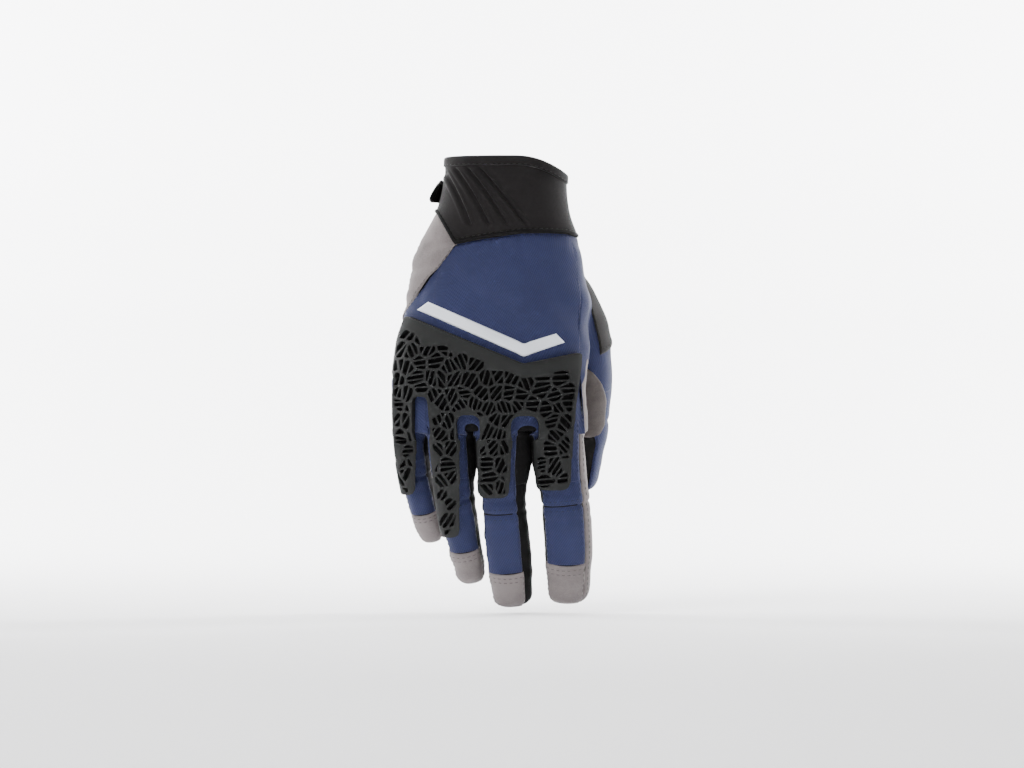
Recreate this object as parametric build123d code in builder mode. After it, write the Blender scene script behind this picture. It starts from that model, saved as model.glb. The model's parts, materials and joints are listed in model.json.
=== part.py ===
from build123d import *
import math
import os
import random

# Right-hand full-finger sailing glove, size L, filled as if worn, in millimetres.
# +Z runs up the forearm, -Y is the back of the hand, +X is the thumb side, and the origin is
# the centre of the wrist opening. Every panel is a thin shell on one hand form: a palm lofted
# between cross-sections, and five digits lofted along their own bones.

# ---- cloth, rubber and gaps ---------------------------------------------------------------
FABRIC = 1.6  # stretch cloth and suede with their lining
NEOPRENE = 3.0  # cuff sheet
CUFF_PROUD = 1.0  # how far the cuff stands out from the panels sewn to it
LAYER_GAP = 0.3  # between layers that are sewn or glued on
MOVING_GAP = 0.3  # between layers that peel apart
GUARD_RISE = 3.0  # moulded knuckle guard above the cloth
GUARD_RIM = 2.0  # solid border round the guard's lattice
GUARD_BAND = 7.0  # smooth bar along the guard's top edge
RIB = 1.4  # main lattice rib
FINE_RIB = 0.9  # thin rib inside a lattice cell
SLIT = 3.1  # width that a cell is split into, with its thin rib
SLIT_TURNS = (-70, -50, 15, 35, 60, 80)  # degrees to the horizontal that the thin ribs may run at
CELL = 7.4  # spacing of the lattice cells
CELL_JITTER = 0.32  # share of the spacing that a cell's centre strays
SMALLEST_HOLE = 3.5  # square millimetres; smaller openings stay filled
CRUMB = 10.0  # cubic millimetres; smaller bits between lattice cells are left out
STRIPE_RISE = 0.4
STRIPE_WIDTH = 6.2
PATCH_RISE = 1.0  # reinforcements on palm and thumb

# ---- palm: height, centre x, half width, back depth, palm depth, arch ----------------------
PALM = (
    (0.0, 0.0, 30.0, 22.0, 22.0, 0.0),
    (-24.0, -2.0, 31.0, 21.0, 21.0, 0.0),
    (-62.0, -6.5, 45.0, 19.0, 22.0, 0.0015),
    (-110.0, -8.0, 49.3, 16.0, 16.5, 0.0024),
    (-139.5, -8.2, 49.2, 11.8, 12.4, 0.0024),
)
OVAL_POINTS = 8
SQUARENESS = 2.35  # 2 is an ellipse, more is boxier
BOW_CENTRE = 5.0  # the palm arches about this x
ARCH_SEAM = ((-75.0, 19.5), (5.0, 4.0), (85.0, 19.5))  # seam of back and palm panels, seen from above
WEB_LINE = ((90.0, -139.5), (-35.0, -138.5), (-42.0, -132.5), (-90.0, -124.0))  # crotches

# ---- outlines on the back of the hand: x and z ----------------------------------------------
CUFF_SEAM = ((-90.0, -2.0), (-33.5, -29.0), (-26.0, -44.4), (-10.5, -41.6), (14.0, -38.8), (90.0, -43.0))
HEEL_SEAM = ((-26.0, -44.4), (-90.0, -127.0))  # suede heel meets the stretch back
STRIPE_LINE = ((-46.0, -76.0), (9.3, -97.6), (28.0, -92.0))  # middle of the reflective chevron
GUARD_TOP = ((-49.5, -80.6), (8.6, -105.2), (36.0, -97.5))
GUARD_LEFT = ((-54.5, -94.0), (-57.4, -112.0))
GUARD_SIDE_X = 36.0
GUARD_SIDE_Z = -106.0
GUARD_REAR = 12.0  # y behind which no guard reaches
GUARD_SEAM_INSET = 2.0  # from the guard to the side seam
SLOT_TOP = -131.5
LITTLE_SLOT_TOP = -121.7
GUARD_CORNER = 2.0
LATTICE_SEED = 4

# ---- cuff -----------------------------------------------------------------------------------
CUFF_DIP_START = 4.0  # x where the opening's edge starts to fall
CUFF_DIP = 9.0  # how far it has fallen at the thumb side
HEM_HEIGHT = 5.0
HEM_RISE = 0.6
GROOVES = 4
GROOVE_PITCH = 8.4
GROOVE_WIDTH = 1.6
GROOVE_DEPTH = 0.8
GROOVE_START = (-30.0, -7.0)  # upper end of the first groove
GROOVE_RUN = (20.0, -27.0)  # from a groove's upper to its lower end
STRAP_TOP = -9.5
STRAP_WIDTH = 22.0
STRAP_THICK = 1.8
LOOP_THICK = 0.8
HOOK_THICK = 0.9
STRAP_ROOT_X = 14.0
STRAP_SEAM = 5.0  # length of its sewn end
PAD_INSET = 1.5  # from the strap's edges to its pads
STRAP_END_Y = 10.0
PULL_TOP = -11.0
PULL_WIDTH = 12.0
PULL_END_Y = -2.0
LOOP_RIGHT_X = 6.0

# ---- palm reinforcement, seen from the back ---------------------------------------------------
PATCH_CENTRE = (-14.0, -88.0)
PATCH_WIDTH = 52.0
PATCH_HEIGHT = 60.0
PATCH_CORNER = 12.0
PATCH_SEAM_INSET = 3.0  # from the patch's edge to the nearest seam

# ---- how far the joints travel, degrees -------------------------------------------------------
KNUCKLE_BEND = 75.0
INDEX_KNUCKLE_BEND = 36.0  # the thumb lies behind the index finger
FINGER_BEND = 80.0
INDEX_FINGER_BEND = 62.0  # its tip meets the thumb
STRAIGHTEN = 8.0
THUMB_SPREAD = 40.0
THUMB_CLOSE = 8.0
THUMB_BEND = 55.0
THUMB_BACK = 10.0
BEND_MARGIN = 2.0  # spare angle on each face of a flex gap
HINGE_ROOM = 1.2  # half height of a flex gap at its hinge
FOLD_GAP = 0.35  # between a soft fold and the panels that it joins

SEAM_BACK = 0.62  # share of a digit's depth where its back panel ends
SEAM_PALM = 0.45  # share where its palm panel starts
THUMB_SEAM = -0.1  # share of the thumb's depth where its two panels meet
THUMB_PATCH_SHARE = 0.1  # share of the thumb's depth that its patch reaches down to
THUMB_PATCH_TOP = -64.0
THUMB_PATCH_BOTTOM = -95.0
FAR = 100.0  # reach of the cutting shapes, past the whole glove


class Digit:
    """One finger or the thumb: places along its bone, and its sizes at each of them."""

    def __init__(self, name, bone, widths, depths, turn, tip_patch, prong=None):
        self.name = name
        self.bone = [Vector(*place) for place in bone]
        self.widths = widths  # half widths
        self.depths = depths  # half depths
        self.turn = turn  # degrees that its palm side faces towards +X
        self.tip_patch = tip_patch  # length of the suede fingertip
        self.prong = prong  # guard finger: x and half width at its root and at its end, z of its end

    def plane(self, place):
        """Plane across the bone: x sideways, y palmward, z up the bone."""
        above = self.bone[max(place - 1, 0)]
        below = self.bone[min(place + 1, len(self.bone) - 1)]
        up = (above - below).normalized()
        turn = math.radians(self.turn)
        palmward = Vector(math.sin(turn), math.cos(turn), 0)
        return Plane(origin=self.bone[place], x_dir=palmward.cross(up), z_dir=up)


INDEX = Digit(
    "index",
    ((25.6, 0.4, -122), (26.8, 1.4, -151), (29.6, 6.0, -176), (31.2, 13.4, -202), (31.2, 19.4, -219.5)),
    (12.6, 12.8, 12.7, 12.5, 11.2),
    (10.8, 10.8, 10.6, 10.0, 9.2),
    0.0, 22.0, (24.9, 8.4, 25.2, 6.8, -168.0),
)
MIDDLE = Digit(
    "middle",
    ((-5.2, -0.4, -122), (-3.2, 0.8, -151), (-1.0, 5.8, -180), (1.2, 13.0, -205), (2.8, 18.4, -220.5)),
    (12.2, 12.2, 12.0, 12.2, 11.0),
    (11.0, 11.0, 10.8, 10.2, 9.4),
    2.0, 20.0, (-6.4, 7.2, -5.6, 5.4, -172.5),
)
RING = Digit(
    "ring",
    ((-30.4, 2.2, -121), (-29.0, 4.2, -150), (-26.0, 10.0, -173), (-21.7, 18.6, -197), (-19.0, 24.0, -209.5)),
    (10.8, 10.8, 10.2, 9.1, 8.2),
    (10.2, 10.2, 9.8, 9.2, 8.6),
    4.0, 17.0, (-32.3, 7.3, -28.4, 4.8, -192.5),
)
LITTLE = Digit(
    "little",
    ((-50.4, 8.6, -112), (-49.2, 11.8, -142), (-46.4, 18.4, -161), (-42.3, 26.0, -179.5), (-39.5, 30.0, -190)),
    (8.6, 8.4, 8.2, 7.8, 7.2),
    (8.6, 8.6, 8.4, 8.0, 7.4),
    8.0, 16.0, (-51.9, 5.2, -50.0, 3.8, -171.0),
)
THUMB = Digit(
    "thumb",
    ((17, 5, -52), (33, 16.5, -78), (41.3, 24.5, -100), (41.2, 35, -134), (39, 41, -152), (38, 43.5, -161)),
    (13.0, 14.5, 12.8, 11.4, 11.0, 10.0),
    (12.0, 13.2, 12.2, 11.2, 10.6, 9.8),
    -70.0, 0.0,
)
FINGERS = (INDEX, MIDDLE, RING, LITTLE)


def oval(centre_x, half_width, back_depth, palm_depth, bow):
    """Points round one cross-section of the palm, arched by bow about BOW_CENTRE."""
    points = []
    for step in range(OVAL_POINTS):
        angle = 2 * math.pi * step / OVAL_POINTS
        across, deep = math.cos(angle), math.sin(angle)
        depth = palm_depth if deep > 0 else back_depth
        x = centre_x + half_width * math.copysign(abs(across) ** (2 / SQUARENESS), across)
        y = depth * math.copysign(abs(deep) ** (2 / SQUARENESS), deep)
        points.append((x, y + bow * (x - BOW_CENTRE) ** 2))
    return points


def palm_form(grow):
    """Solid of the palm and wrist, grown outwards by grow."""
    with BuildPart() as form:
        for height, centre_x, width, back, palm, bow in PALM:
            with BuildSketch(Plane.XY.offset(height)):
                with BuildLine():
                    Spline(*oval(centre_x, width + grow, back + grow, palm + grow, bow), periodic=True)
                make_face()
        loft()
    return form.part


def digit_form(digit, grow):
    """Solid of one finger or the thumb with a rounded end, grown outwards by grow."""
    last = len(digit.bone) - 1
    end_round = (digit.depths[last] + grow) * 0.6
    with BuildPart() as form:
        for place in range(last + 1):
            with BuildSketch(digit.plane(place)):
                Ellipse(digit.widths[place] + grow, digit.depths[place] + grow)
        with BuildSketch(digit.plane(last).offset(-digit.depths[last] - grow)):
            Ellipse(digit.widths[last] + grow, digit.depths[last] + grow)
        loft()
        fillet(form.faces().sort_by(Axis.Z)[0].edges(), end_round)
    return form.part



def outline_prism(points, front=-FAR, rear=FAR):
    """Solid behind an outline in x and z, from y = front to y = rear."""
    with BuildPart() as prism:
        with BuildSketch(Plane.XZ.offset(-rear)):
            with BuildLine():
                Polyline(*points, close=True)
            make_face()
        extrude(amount=rear - front)
    return prism.part


def above_web(rise):
    """Everything above the line of the finger crotches, raised by rise."""
    line = [(x, z + rise) for x, z in WEB_LINE]
    return outline_prism(line + [(-FAR, FAR), (FAR, FAR)])


def back_side(towards_back=0.0):
    """Everything behind the arched side seam, on the back of the hand."""
    seam = [(x, y - towards_back) for x, y in ARCH_SEAM]
    with BuildPart() as region:
        with BuildSketch(Plane.XY.offset(-2 * FAR)):
            with BuildLine():
                ThreePointArc(*seam)
                Polyline(seam[2], (seam[2][0], -FAR), (seam[0][0], -FAR), seam[0])
            make_face()
        extrude(amount=3 * FAR)
    return region.part


def layer(form, inner, outer, *within):
    """Sheet that lies on a form, between two growths of it and inside the given shapes."""
    with BuildPart() as sheet:
        add(form(outer))
        add(form(inner), mode=Mode.SUBTRACT)
        for shape in within:
            add(shape, mode=Mode.INTERSECT)
    return sheet.part


def flex_gap(digit, place, back_angle, palm_angle, shrink=0.0):
    """Bow-tie prism along a hinge: the room that the panels beside it fold into."""
    plane = digit.plane(place)
    reach = 2 * digit.depths[place]
    room = HINGE_ROOM - shrink
    back = room + reach * math.tan(math.radians(back_angle))
    palm = room + reach * math.tan(math.radians(palm_angle))
    side = Plane(origin=plane.origin - plane.x_dir * reach, x_dir=plane.y_dir, z_dir=plane.x_dir)
    with BuildPart() as gap:
        with BuildSketch(side):
            with BuildLine():
                Polyline((-reach, -back), (0, -room), (reach, -palm),
                         (reach, palm), (0, room), (-reach, back), close=True)
            make_face()
        extrude(amount=2 * reach)
    return gap.part


def seam_plane(digit, upper, lower, share):
    """Plane along a digit's bone, this share of its depth towards the palm."""
    up = (digit.bone[upper] - digit.bone[lower]).normalized()
    across = digit.plane(upper).x_dir
    normal = up.cross(across)
    depth = (digit.depths[upper] + digit.depths[lower]) / 2
    middle = (digit.bone[upper] + digit.bone[lower]) * 0.5
    return Plane(origin=middle + normal * depth * share, x_dir=up, z_dir=normal)


def save(builder, label):
    """Names a finished piece and writes it."""
    builder.part.label = label
    export_step(builder.part, f"parts/{label}.step")


os.makedirs("parts", exist_ok=True)

# ---- shapes that several pieces are cut from ------------------------------------------------
below_cuff = outline_prism(CUFF_SEAM + ((FAR, -2 * FAR), (-FAR, -2 * FAR)))
back_region = back_side()

with BuildPart() as hand_core:
    add(palm_form(LAYER_GAP))
    add(above_web(-LAYER_GAP), mode=Mode.INTERSECT)

with BuildPart() as hand_hollow:
    add(palm_form(-FABRIC))
    add(above_web(FABRIC), mode=Mode.INTERSECT)

with BuildPart() as hand_shell:
    add(palm_form(0))
    add(above_web(0), mode=Mode.INTERSECT)
    add(hand_hollow.part, mode=Mode.SUBTRACT)

with BuildPart() as hand_panels:
    add(hand_shell.part)
    add(above_web(FABRIC), mode=Mode.INTERSECT)
    add(below_cuff, mode=Mode.INTERSECT)
    add(digit_form(THUMB, -FABRIC), mode=Mode.SUBTRACT)

# ---- palm and back of the hand ------------------------------------------------------------------
heel_region = outline_prism(HEEL_SEAM + ((-FAR, 0.0), (HEEL_SEAM[0][0], 0.0)))

with BuildPart() as back_panel:
    add(hand_panels.part)
    add(back_region, mode=Mode.INTERSECT)
    add(heel_region, mode=Mode.SUBTRACT)
save(back_panel, "back_panel")

with BuildPart() as heel_panel:
    add(hand_panels.part)
    add(back_region, mode=Mode.INTERSECT)
    add(heel_region, mode=Mode.INTERSECT)
save(heel_panel, "heel_panel")

with BuildPart() as palm_panel:
    add(hand_panels.part)
    add(back_region, mode=Mode.SUBTRACT)
save(palm_panel, "palm_panel")

with BuildPart() as webs:
    add(hand_shell.part)
    add(above_web(FABRIC), mode=Mode.SUBTRACT)
    for finger in FINGERS:
        add(digit_form(finger, -FABRIC), mode=Mode.SUBTRACT)
save(webs, "webs")

with BuildPart() as palm_patch:
    add(layer(palm_form, LAYER_GAP, LAYER_GAP + PATCH_RISE))
    add(back_side(-PATCH_SEAM_INSET), mode=Mode.SUBTRACT)
    with BuildSketch(Plane.XZ.offset(-FAR)):
        with Locations(PATCH_CENTRE):
            RectangleRounded(PATCH_WIDTH, PATCH_HEIGHT, PATCH_CORNER)
    extrude(amount=FAR, mode=Mode.INTERSECT)
    add(digit_form(THUMB, PATCH_SEAM_INSET), mode=Mode.SUBTRACT)
save(palm_patch, "palm_patch")

stripe_band = [(x, z + STRIPE_WIDTH / 2) for x, z in STRIPE_LINE]
stripe_band += [(x, z - STRIPE_WIDTH / 2) for x, z in reversed(STRIPE_LINE)]
with BuildPart() as reflective_stripe:
    add(layer(palm_form, LAYER_GAP, LAYER_GAP + STRIPE_RISE, outline_prism(stripe_band, rear=0)))
save(reflective_stripe, "reflective_stripe")

# ---- cuff -----------------------------------------------------------------------------------------
def below_cuff_edge(drop):
    """Everything below the opening's edge, lowered by drop."""
    edge = ((-FAR, -drop), (CUFF_DIP_START, -drop), (PALM[0][2], -CUFF_DIP - drop), (FAR, -CUFF_DIP - drop))
    return outline_prism(edge + ((FAR, -2 * FAR), (-FAR, -2 * FAR)))


with BuildPart() as grooves:
    run = Vector(*GROOVE_RUN)
    first = Vector(*GROOVE_START) + run * 0.5
    with BuildSketch(Plane.XZ):
        with Locations(*[first + Vector(GROOVE_PITCH * groove, 0) for groove in range(GROOVES)]):
            SlotOverall(run.length, GROOVE_WIDTH, rotation=math.degrees(math.atan2(run.Y, run.X)))
    extrude(amount=FAR)
    add(palm_form(CUFF_PROUD - GROOVE_DEPTH), mode=Mode.SUBTRACT)

with BuildPart() as cuff:
    add(layer(palm_form, CUFF_PROUD - NEOPRENE, CUFF_PROUD, below_cuff_edge(0)))
    add(below_cuff, mode=Mode.SUBTRACT)
    add(grooves.part, mode=Mode.SUBTRACT)
save(cuff, "cuff")

with BuildPart() as cuff_hem:
    add(layer(palm_form, CUFF_PROUD + LAYER_GAP, CUFF_PROUD + LAYER_GAP + HEM_RISE, below_cuff_edge(0)))
    add(below_cuff_edge(HEM_HEIGHT), mode=Mode.SUBTRACT)
save(cuff_hem, "cuff_hem")

# Closure on the palm side, in layers from the cuff outwards: loop pad, hook pad, strap.
LOOP_IN = CUFF_PROUD + LAYER_GAP
HOOK_IN = LOOP_IN + LOOP_THICK + MOVING_GAP
STRAP_IN = HOOK_IN + HOOK_THICK + LAYER_GAP
STRAP_OUT = STRAP_IN + STRAP_THICK


def wrist_window(left, right, front, top, height):
    """Block of the palm side of the wrist that a layer of the closure is cut to."""
    with BuildPart() as window:
        with BuildSketch(Plane.XY.offset(top - height)):
            with Locations(((left + right) / 2, (front + FAR) / 2)):
                Rectangle(right - left, FAR - front)
        extrude(amount=height)
    return window.part


with BuildPart() as loop_pad:
    add(layer(palm_form, LOOP_IN, LOOP_IN + LOOP_THICK,
              wrist_window(-FAR, LOOP_RIGHT_X, STRAP_END_Y, STRAP_TOP - PAD_INSET, STRAP_WIDTH - 2 * PAD_INSET)))
save(loop_pad, "loop_pad")

with BuildPart() as hook_pad:
    add(layer(palm_form, HOOK_IN, HOOK_IN + HOOK_THICK,
              wrist_window(-FAR, LOOP_RIGHT_X, STRAP_END_Y, STRAP_TOP - PAD_INSET, STRAP_WIDTH - 2 * PAD_INSET)))
save(hook_pad, "hook_pad")

with BuildPart() as strap:
    add(layer(palm_form, STRAP_IN, STRAP_OUT,
              wrist_window(-FAR, STRAP_ROOT_X, STRAP_END_Y, STRAP_TOP, STRAP_WIDTH)))
    add(layer(palm_form, CUFF_PROUD + MOVING_GAP, STRAP_IN,
              wrist_window(STRAP_ROOT_X - STRAP_SEAM, STRAP_ROOT_X, 0, STRAP_TOP, STRAP_WIDTH)))
save(strap, "strap")

with BuildPart() as pull_tab:
    add(layer(palm_form, STRAP_IN, STRAP_OUT,
              wrist_window(-FAR, 0, PULL_END_Y, PULL_TOP, PULL_WIDTH)))
    add(wrist_window(-FAR, 0, STRAP_END_Y, PULL_TOP, PULL_WIDTH), mode=Mode.SUBTRACT)
save(pull_tab, "pull_tab")

# ---- knuckle guard: one outline, and a lattice of irregular cells -----------------------------
def guard_points():
    """Corners of the whole guard with its four fingers, clockwise from the upper left."""
    points = [GUARD_LEFT[1], GUARD_LEFT[0], *GUARD_TOP, (GUARD_SIDE_X, GUARD_SIDE_Z)]
    slots = (SLOT_TOP, SLOT_TOP, SLOT_TOP, LITTLE_SLOT_TOP, LITTLE_SLOT_TOP)
    for finger, right_top, left_top in zip(FINGERS, slots, slots[1:]):
        root_x, root_half, end_x, end_half, end_z = finger.prong
        points += [(root_x + root_half, right_top), (end_x + end_half, end_z)]
        points += [(end_x - end_half, end_z), (root_x - root_half, left_top)]
    return points


def cut_off(cell, normal, limit):
    """The part of a cell whose reach along normal is at most limit."""
    height = [x * normal[0] + z * normal[1] - limit for x, z in cell]
    kept = []
    for here in range(len(cell)):
        after = (here + 1) % len(cell)
        if height[here] <= 0:
            kept.append(cell[here])
        if height[here] * height[after] < 0:
            share = height[here] / (height[here] - height[after])
            kept.append(tuple(a + (b - a) * share for a, b in zip(cell[here], cell[after])))
    return kept


def clipped(cell, seed, other):
    """The part of a cell that lies nearer to seed than to other, less half a rib."""
    gap = math.dist(seed, other)
    normal = ((other[0] - seed[0]) / gap, (other[1] - seed[1]) / gap)
    start = seed[0] * normal[0] + seed[1] * normal[1]
    return cut_off(cell, normal, start + (gap - RIB) / 2)


def slits(cell, turn):
    """A cell split by thin parallel ribs that run at turn to the horizontal."""
    across = (-math.sin(math.radians(turn)), math.cos(math.radians(turn)))
    back = (-across[0], -across[1])
    reach = [x * across[0] + z * across[1] for x, z in cell]
    low, high = min(reach), max(reach)
    count = max(1, round((high - low + FINE_RIB) / SLIT))
    step = (high - low + FINE_RIB) / count
    split_cells = []
    for place in range(count):
        start = low + place * step
        split_cells.append(cut_off(cut_off(cell, across, start + step - FINE_RIB), back, -start))
    return split_cells


def lattice_cells():
    """Irregular slit cells round the points of a shaken grid."""
    chance = random.Random(LATTICE_SEED)
    left, right = GUARD_LEFT[1][0], GUARD_SIDE_X
    top, bottom = GUARD_LEFT[0][1], RING.prong[4]
    seeds = []
    for row in range(math.ceil((top - bottom) / CELL) + 1):
        for column in range(math.ceil((right - left) / CELL) + 1):
            x = left + (column + 0.5 * (row % 2) + chance.uniform(-CELL_JITTER, CELL_JITTER)) * CELL
            z = top - (row + chance.uniform(-CELL_JITTER, CELL_JITTER)) * CELL
            seeds.append((x, z))
    cells = []
    for seed in seeds:
        cell = [(seed[0] + dx * CELL, seed[1] + dz * CELL) for dx, dz in ((-1, -1), (1, -1), (1, 1), (-1, 1))]
        for other in seeds:
            if other != seed and math.dist(seed, other) < 3 * CELL:
                cell = clipped(cell, seed, other)
        cells.extend(piece for piece in slits(cell, chance.choice(SLIT_TURNS)) if len(piece) > 2)
    return cells


guard_front = Plane.XZ.offset(-GUARD_REAR)
with BuildSketch(guard_front) as guard_outline:
    with BuildLine():
        Polyline(*guard_points(), close=True)
    make_face()
    fillet(guard_outline.vertices(), GUARD_CORNER)

with BuildSketch() as lattice_field:
    with BuildLine():
        Polyline(*guard_points(), close=True)
    make_face()
    offset(amount=-GUARD_RIM)
    with BuildLine():
        Polyline(*GUARD_TOP, *[(x, z - GUARD_BAND) for x, z in reversed(GUARD_TOP)], close=True)
    make_face(mode=Mode.SUBTRACT)

with BuildSketch(guard_front) as lattice:
    add([Polygon(*cell, align=None, mode=Mode.PRIVATE) for cell in lattice_cells()])
    add(lattice_field.sketch_local, mode=Mode.INTERSECT)

with BuildPart() as guard_prism:
    extrude(guard_outline.sketch, amount=FAR, dir=(0, -1, 0))

open_cells = [face for face in lattice.sketch.faces() if face.area > SMALLEST_HOLE]
open_cells = [face if face.normal_at().Y < 0 else -face for face in open_cells]


def guard_layer(form):
    """Moulded rubber on one form, inside the guard's outline."""
    return layer(form, LAYER_GAP, LAYER_GAP + GUARD_RISE, guard_prism.part)


# ---- fingers ---------------------------------------------------------------------------------------
def digit_shell(digit):
    """Closed tube of cloth of one digit."""
    with BuildPart() as shell:
        add(digit_form(digit, 0))
        add(digit_form(digit, -FABRIC), mode=Mode.SUBTRACT)
    return shell.part


def digit_gaps(digit, knuckle, joint, shrink=0.0):
    """Flex gaps of a digit's two hinges, each given as its place and its bends back and palmward."""
    gaps = []
    for place, (backward, palmward) in (knuckle, joint):
        gaps.append(flex_gap(digit, place, backward / 2 + BEND_MARGIN, palmward / 2 + BEND_MARGIN, shrink))
    return gaps


def split_digit(shell, gaps):
    """Tip, middle and root solids of a shell that its two flex gaps divide."""
    with BuildPart() as cut:
        add(shell)
        for gap in gaps:
            add(gap, mode=Mode.SUBTRACT)
    whole = [solid for solid in cut.part.solids() if solid.volume > CRUMB]
    return ShapeList(whole).sort_by(Axis.Z)


def panels(solid, back_plane, palm_plane, prefix):
    """Cuts a length of finger into back, palm and the two strips between them."""
    with BuildPart() as back:
        add(solid)
        split(bisect_by=back_plane, keep=Keep.BOTTOM)
    save(back, f"{prefix}_back")
    with BuildPart() as palm:
        add(solid)
        split(bisect_by=palm_plane, keep=Keep.TOP)
    save(palm, f"{prefix}_palm")
    with BuildPart() as sides:
        add(solid)
        split(bisect_by=back_plane, keep=Keep.TOP)
        split(bisect_by=palm_plane, keep=Keep.BOTTOM)
    save(sides, f"{prefix}_sides")


roots = []
folds = []
prong_roots = []
for finger in FINGERS:
    bend = INDEX_KNUCKLE_BEND if finger is INDEX else KNUCKLE_BEND
    joint_bend = INDEX_FINGER_BEND if finger is INDEX else FINGER_BEND
    bends = (1, (STRAIGHTEN, bend)), (2, (STRAIGHTEN, joint_bend))
    shell = digit_shell(finger)
    gaps = digit_gaps(finger, *bends)
    tip, middle, root = split_digit(shell, gaps)
    panels(middle, seam_plane(finger, 1, 2, -SEAM_BACK), seam_plane(finger, 1, 2, SEAM_PALM), finger.name)

    tip_seam = finger.plane(4).offset(finger.tip_patch - finger.depths[4])
    with BuildPart() as tip_patch:
        add(tip)
        split(bisect_by=tip_seam, keep=Keep.BOTTOM)
    save(tip_patch, f"{finger.name}_tip_patch")
    with BuildPart() as lower:
        add(tip)
        split(bisect_by=tip_seam, keep=Keep.TOP)
    lower_back = seam_plane(finger, 2, 4, -SEAM_BACK)
    lower_palm = seam_plane(finger, 2, 4, SEAM_PALM)
    panels(lower.part, lower_back, lower_palm, f"{finger.name}_lower")

    root_fill, joint_fill = digit_gaps(finger, *bends, shrink=FOLD_GAP)
    with BuildPart() as fold:
        add(shell)
        add(joint_fill, mode=Mode.INTERSECT)
    save(fold, f"{finger.name}_fold")
    with BuildPart() as root_fold:
        add(shell)
        add(root_fill, mode=Mode.INTERSECT)
    folds.append(root_fold.part)
    with BuildPart() as finger_root:
        add(root)
        add(above_web(0), mode=Mode.SUBTRACT)
    roots.append(finger_root.part)

    with BuildPart() as prong:
        add(guard_layer(lambda grow: digit_form(finger, grow)))
        split(bisect_by=seam_plane(finger, 1, 2, 0), keep=Keep.BOTTOM)
        extrude(open_cells, amount=FAR, mode=Mode.SUBTRACT)
    prong_parts = split_digit(prong.part, gaps)
    with BuildPart() as prong_root:
        add(prong_parts[-1])
        add(hand_core.part, mode=Mode.SUBTRACT)
    prong_roots.append(prong_root.part)
    names = ("guard_{}", "guard_{}_lower")
    for name, solid in zip(names, reversed(prong_parts[:-1])):
        with BuildPart() as guard_finger:
            add(solid)
        save(guard_finger, name.format(finger.name))

with BuildPart() as finger_roots:
    add(roots)
save(finger_roots, "finger_roots")

with BuildPart() as guard_with_crumbs:
    add(guard_layer(palm_form))
    add(above_web(0), mode=Mode.INTERSECT)
    add(back_side(GUARD_SEAM_INSET), mode=Mode.INTERSECT)
    extrude(open_cells, amount=FAR, mode=Mode.SUBTRACT)
    add(prong_roots)
with BuildPart() as guard_plate:
    add(guard_with_crumbs.part.solids().sort_by(SortBy.VOLUME)[-1])
save(guard_plate, "guard_plate")

# ---- thumb -------------------------------------------------------------------------------------------
thumb_shell = digit_shell(THUMB)
thumb_bends = (2, (THUMB_SPREAD, THUMB_CLOSE)), (3, (THUMB_BACK, THUMB_BEND))
thumb_end, thumb_middle, thumb_base = split_digit(thumb_shell, digit_gaps(THUMB, *thumb_bends))

with BuildPart() as thumb_root:
    add(thumb_base)
    add(palm_form(LAYER_GAP), mode=Mode.SUBTRACT)
save(thumb_root, "thumb_root")

for prefix, solid, upper, lower in ("thumb", thumb_middle, 2, 3), ("thumb_tip", thumb_end, 3, 5):
    seam = seam_plane(THUMB, upper, lower, THUMB_SEAM)
    with BuildPart() as thumb_back:
        add(solid)
        split(bisect_by=seam, keep=Keep.BOTTOM)
    save(thumb_back, f"{prefix}_back")
    with BuildPart() as thumb_palm:
        add(solid)
        split(bisect_by=seam, keep=Keep.TOP)
    save(thumb_palm, f"{prefix}_palm")

thumb_root_fill, thumb_fill = digit_gaps(THUMB, *thumb_bends, shrink=FOLD_GAP)
with BuildPart() as thumb_fold:
    add(thumb_shell)
    add(thumb_fill, mode=Mode.INTERSECT)
save(thumb_fold, "thumb_fold")

with BuildPart() as root_folds:
    add(folds)
    add(layer(lambda grow: digit_form(THUMB, grow), -FABRIC, 0, thumb_root_fill))
    add(palm_form(FOLD_GAP), mode=Mode.SUBTRACT)
save(root_folds, "root_folds")

with BuildPart() as thumb_patch:
    add(layer(lambda grow: digit_form(THUMB, grow), LAYER_GAP, LAYER_GAP + PATCH_RISE))
    split(bisect_by=seam_plane(THUMB, 1, 2, -THUMB_PATCH_SHARE), keep=Keep.BOTTOM)
    split(bisect_by=Plane.XY.offset(THUMB_PATCH_TOP), keep=Keep.BOTTOM)
    split(bisect_by=Plane.XY.offset(THUMB_PATCH_BOTTOM), keep=Keep.TOP)
    add(palm_form(PATCH_SEAM_INSET), mode=Mode.SUBTRACT)
    for gap in digit_gaps(THUMB, *thumb_bends):
        add(gap, mode=Mode.SUBTRACT)
save(thumb_patch, "thumb_patch")
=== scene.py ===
"""Looks of a right-hand sailing glove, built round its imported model.

Every soft panel is draped on one smooth hand form, in millimetres, and written in metres.
"""

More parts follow.
